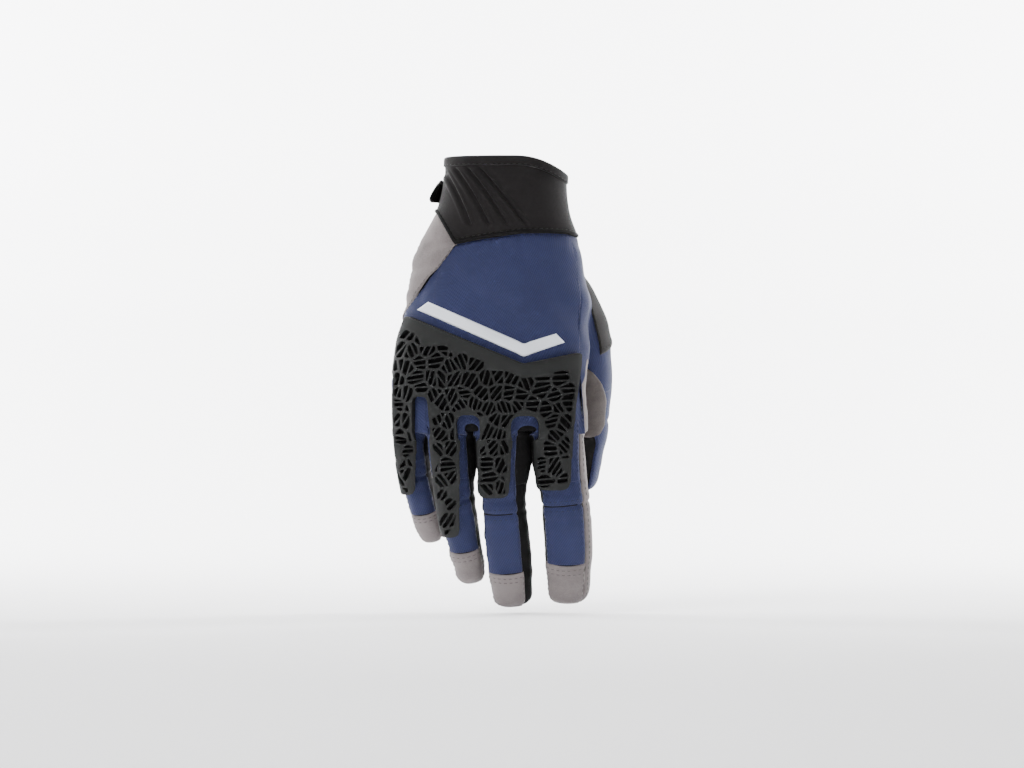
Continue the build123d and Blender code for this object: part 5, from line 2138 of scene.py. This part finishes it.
    def _fitted(self, piece: list[np.ndarray]) -> np.ndarray | None:
        """A slit with soft corners, drawn in until it lies inside the lattice."""
        sizes = self.sizes
        dense: list[np.ndarray] = []
        for a, b in zip(piece, [*piece[1:], piece[0]]):
            count = max(1, int(round(float(np.linalg.norm(b - a)) / sizes.step)))
            dense.extend(a + (b - a) * k / count for k in range(count))
        line = np.array(dense)
        line = (np.roll(line, 1, axis=0) + 5 * line + np.roll(line, -1, axis=0)) / 7
        middle = line.mean(axis=0)
        if self._room(middle) < sizes.least_room:
            return None
        for i, point in enumerate(line):
            if self._room(point) < 0:
                low, high = 0.0, 1.0
                for _ in range(7):
                    share = (low + high) / 2
                    fits = self._room(middle + (point - middle) * share) > 0
                    low, high = (share, high) if fits else (low, share)
                line[i] = middle + (point - middle) * low
        keep = [line[0]]
        for point in line[1:]:
            if np.linalg.norm(point - keep[-1]) > sizes.least_gap:
                keep.append(point)
        if np.linalg.norm(keep[-1] - keep[0]) < sizes.least_gap:
            keep.pop()
        if len(keep) < 4:
            return None
        loop = np.array(keep)
        x, z = loop[:, 0], loop[:, 1]
        area = 0.5 * abs(float(x @ np.roll(z, -1) - z @ np.roll(x, -1)))
        return loop if area > sizes.least_area else None

    def _finger_at(self, x: float) -> str:
        """The finger whose prong lies at x."""
        return next((name for name, start in self.starts if x > start), "little")

    def _region(self, x: float, z: float) -> str:
        """Which piece of the guard a place belongs to."""
        if z > self.sizes.web_line:
            return "plate"
        name = self._finger_at(x)
        return f"{name}_lower" if z < self._cut_height(name) else name

    def _cut_height(self, name: str) -> float:
        """Height where a prong is parted between two joints."""
        finger = self.fingers[name]
        return float(finger.tube.frame(finger.middle)[0].z)

    def _reined(self, x: float, z: float) -> float:
        """A place drawn in from the hand's silhouette, so that the guard wraps its side."""
        centre, width, *_ = self.form.palm.at(z)
        low, high = centre - width, centre + width
        name = self._finger_at(x)
        tube = self.fingers[name].tube
        middle, _, _, half, _ = tube.frame(tube.at_height(z))
        wrap = self.sizes.wrap
        left, right = self.joins["little" if name == "little" else "other"]
        low += (middle.x - half - low) * ease(-z, *left)
        high += (middle.x + half - high) * ease(-z, *right)
        for edge, sign in ((low, -1), (high, 1)):
            over = wrap - sign * (edge - x)
            if over > 0:
                x = edge - sign * wrap * math.exp(-over / wrap)
        return x

    def _flat(self, loops: Sequence[np.ndarray], fill: Triple) -> Flat:
        """Triangulates the inside of some loops, with edges where the guard is parted.

        Args:
            loops: The outline, then the slits to leave out.
            fill: Pitch of the points that fill the inside, their shift off the loops' own points, and
                how far they stay from the loops, with 0 for anywhere.

        Returns:
            The flat points, and the faces of each region by its name.
        """
        pitch, nudge, clear = fill
        points: list[Point] = []
        edges: list[Size] = []
        for loop in loops:
            start, count = len(points), len(loop)
            points.extend((float(x), float(z)) for x, z in loop)
            edges.extend((start + i, start + (i + 1) % count) for i in range(count))
        rim = np.array(points)
        for (ax, z), (bx, _) in self.cuts:
            start, count = len(points), int(abs(bx - ax) / self.sizes.cut_step)
            points.extend((ax + (bx - ax) * k / count, z) for k in range(count + 1))
            edges.extend((start + k, start + k + 1) for k in range(count))
        low, high = self.outline.min(axis=0), self.outline.max(axis=0)
        across, down = (np.arange(low[i], high[i], pitch) for i in range(2))
        inner = np.array([(x, z) for x in across for z in down]) + nudge
        for place in inner[self._inside(inner, loops)]:
            if not clear or np.abs(rim - place).sum(axis=1).min() > clear:
                points.append((float(place[0]), float(place[1])))
        verts, _, faces, *_ = delaunay_2d_cdt([Vector(p) for p in points], edges, [], 0, 1e-5)
        flat = np.array([(v.x, v.y) for v in verts])
        middles = np.array([flat[list(face)].mean(axis=0) for face in faces])
        groups: dict[str, list[Face]] = {}
        for face, middle, good in zip(faces, middles, self._inside(middles, loops)):
            if good:
                groups.setdefault(self._region(float(middle[0]), float(middle[1])), []).append(tuple(face))
        return flat, groups

    def _rubber(self) -> None:
        """The moulded rubber, one solid a region."""
        sizes = self.sizes
        pattern = self._flat([self.outline, *self.slits], sizes.rubber_fill)
        for name, piece in self._pieces(pattern, "rubber", sizes.seat, sizes.rise, Finish.RUBBER):
            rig.slot(piece, "guard_rubber")
            if name not in self.without_node:
                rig.replaces(piece, f"guard_{name}")
            self._hang(piece, name)

    def _backing(self) -> None:
        """The black cloth that shows through the slits, one piece a region."""
        sizes = self.sizes
        pattern = self._flat([self.outline], sizes.backing_fill)
        seat, rise = sizes.backing_seat, sizes.backing_rise
        for name, piece in self._pieces(pattern, "backing", seat, rise, CORE.finish):
            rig.slot(piece, CORE.slot)
            self._hang(piece, name)

    def _hang(self, piece: Piece, name: str) -> None:
        """Ties a region of the guard to the bodies that it crosses."""
        if name == "plate":
            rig.ride(piece, "hand")
        else:
            self.fingers[name.split("_")[0]].hold(piece, name.endswith("_lower"))

    def _pieces(self, pattern: Flat, kind: str, seat: float, rise: float,
                finish: Finish) -> Iterable[tuple[str, Piece]]:
        """Raises a flat pattern off the hand, one solid a region.

        Args:
            pattern: The flat points and the faces of each region.
            kind: What the solids are called after their region.
            seat: Height of their underside above the skin.
            rise: Their thickness.
            finish: Their finish.

        Yields:
            Each region's name and its solid.
        """
        flat, groups = pattern
        placed = [self.form.front(self._reined(float(x), float(z)), float(z)) for x, z in flat]
        for name, group in groups.items():
            used = sorted({i for face in group for i in face})
            skin = [placed[i] for i in used]
            top, base = ([p + n * height for p, n in skin] for height in (seat + rise, seat))
            index = {old: new for new, old in enumerate(used)}
            faces = [tuple(index[i] for i in face) for face in group]
            yield name, self._solid(f"guard_{name}_{kind}", flat[used], faces, (top, base), finish)

    def _solid(self, name: str, flat: np.ndarray, group: Sequence[Face], sides: Sequence[list[Vector]],
               finish: Finish) -> Piece:
        """One closed piece of the guard, with rounded upper edges where it is rubber."""
        sizes, count = self.sizes, len(flat)
        upper, lower, borders = [], [], {}
        for face in group:
            ids = list(face)
            a, b, c = (flat[i] for i in face[:3])
            if (b[0] - a[0]) * (c[1] - a[1]) - (b[1] - a[1]) * (c[0] - a[0]) < 0:
                ids.reverse()
            upper.append(tuple(ids))
            lower.append(tuple(count + i for i in reversed(ids)))
            for p, q in zip(ids, [*ids[1:], ids[0]]):
                if (q, p) in borders:
                    del borders[(q, p)]
                else:
                    borders[(p, q)] = True
        walls = [(p, count + p, count + q, q) for p, q in borders]
        mesh = bpy.data.meshes.new(name)
        mesh.from_pydata([v * MM for side in sides for v in side], [], [*upper, *lower, *walls])
        mesh.update()
        if finish is Finish.RUBBER:
            self._weigh(mesh, flat, {(min(p, q), max(p, q)) for p, q in borders})
        piece = Skin.link(name, mesh)
        Skin.pick(piece)
        soften = piece.modifiers.new("soft_edge", "BEVEL")
        soften.limit_method, soften.width, soften.segments = "WEIGHT", sizes.edge_round * MM, 2
        soften.use_clamp_overlap = True
        bpy.ops.object.modifier_apply(modifier=soften.name)
        bpy.ops.object.shade_smooth_by_angle(angle=math.radians(sizes.smooth_angle))
        finish.dress(piece)
        return piece

    def _weigh(self, mesh: bpy.types.Mesh, flat: np.ndarray, rims: set[tuple[int, int]]) -> None:
        """Marks the rims of the upper face to be rounded, except where the guard is parted."""
        weight = mesh.attributes.new("bevel_weight_edge", "FLOAT", "EDGE")
        for edge in mesh.edges:
            p, q = sorted(edge.vertices)
            if (p, q) in rims:
                on_cut = any(np.abs(flat[[p, q], 1] - z).max() < 0.01 for (_, z), _ in self.cuts)
                weight.data[edge.index].value = 0.0 if on_cut else 1.0


@dataclass(frozen=True)
class StudioSizes:
    """The camera and the light, in metres and degrees."""

    centre: tuple[float, float, float] = (0.0026, 0.0, -0.1155)
    distance: float = 1.96
    lens: float = 135.0
    floor: float = -0.2335


class Studio:
    """Pale floor that curves up into a wall, soft lights and the camera."""

    def __init__(self, sizes: StudioSizes = StudioSizes()) -> None:
        """Builds the studio round the glove."""
        self.sizes = sizes
        self._floor()
        self._lights()
        self._camera()

    def _floor(self) -> None:
        """A sweep of pale paper."""
        rows = []
        for k in range(40):
            share = k / 39
            y = -3.0 + 4.6 * min(1.0, share * 1.6)
            rise = 0.0 if share < 0.5 else 3.2 * ((share - 0.5) / 0.5) ** 2
            rows.append((y, self.sizes.floor + rise))
        verts = [(x, y, z) for y, z in rows for x in (-4.0, 4.0)]
        faces = [(2 * i, 2 * i + 1, 2 * i + 3, 2 * i + 2) for i in range(len(rows) - 1)]
        mesh = bpy.data.meshes.new("studio_sweep")
        mesh.from_pydata(verts, [], faces)
        mesh.shade_smooth()
        sweep = bpy.data.objects.new("studio_sweep", mesh)
        bpy.context.scene.collection.objects.link(sweep)
        tree = NodeTree("studio_paper")
        sweep.data.materials.append(tree.finish((0.93, 0.93, 0.94), 0.9))
        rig.stage(sweep)

    def _light(self, name: str, place: tuple[float, float, float], size: float, watts: float,
               aim: tuple[float, float, float] | None = None) -> None:
        """One soft square light, aimed at the glove where nothing else is given."""
        lamp = bpy.data.lights.new(name, "AREA")
        lamp.size, lamp.energy = size, watts
        made = bpy.data.objects.new(name, lamp)
        made.location = place
        way = Vector(aim or self.sizes.centre) - Vector(place)
        made.rotation_euler = way.to_track_quat("-Z", "Y").to_euler()
        bpy.context.scene.collection.objects.link(made)
        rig.stage(made)

    def _lights(self) -> None:
        """A large key from above left, a fill from the right and a light on the wall."""
        for side in (-1.0, 1.0):
            self._light(f"wall_{side:+.0f}", (side * 1.3, 0.55, 0.6), 1.0, 130.0, (side * 0.2, 2.4, 0.1))
        self._light("key", (-1.0, -1.1, 1.1), 0.7, 40.0)
        self._light("fill", (1.4, -1.2, 0.3), 1.4, 7.0)
        self._light("top", (0.1, -0.3, 1.5), 1.0, 14.0)
        world = bpy.data.worlds.new("studio_air")
        world.use_nodes = True
        world.node_tree.nodes["Background"].inputs["Color"].default_value = (1.0, 1.0, 1.0, 1.0)
        world.node_tree.nodes["Background"].inputs["Strength"].default_value = 0.30
        bpy.context.scene.world = world

    def _camera(self) -> None:
        """The camera, square on to the back of the hand."""
        lens = bpy.data.cameras.new("camera")
        lens.lens, lens.sensor_width = self.sizes.lens, 36.0
        camera = bpy.data.objects.new("camera", lens)
        x, y, z = self.sizes.centre
        camera.location = (x, y - self.sizes.distance, z)
        camera.rotation_euler = (math.radians(90), 0.0, 0.0)
        bpy.context.scene.collection.objects.link(camera)
        bpy.context.scene.camera = camera


def main() -> None:
    """Builds the whole glove and its studio."""
    logging.basicConfig(level=logging.INFO)
    form = HandForm()
    hand = Hand(form)
    Cuff(form)
    fingers = {digit.name: Finger(form, digit) for digit in FINGERS}
    Thumb(form, hand)
    Guard(form, fingers)
    Studio()
    after = [list(corner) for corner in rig.bounds()]
    with open("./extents.json", "w", encoding="utf-8") as file:
        json.dump({"before": CAD_BOX, "after": after}, file)
    log.info("size before %s after %s", CAD_BOX, after)


if __name__ == "__main__":
    main()
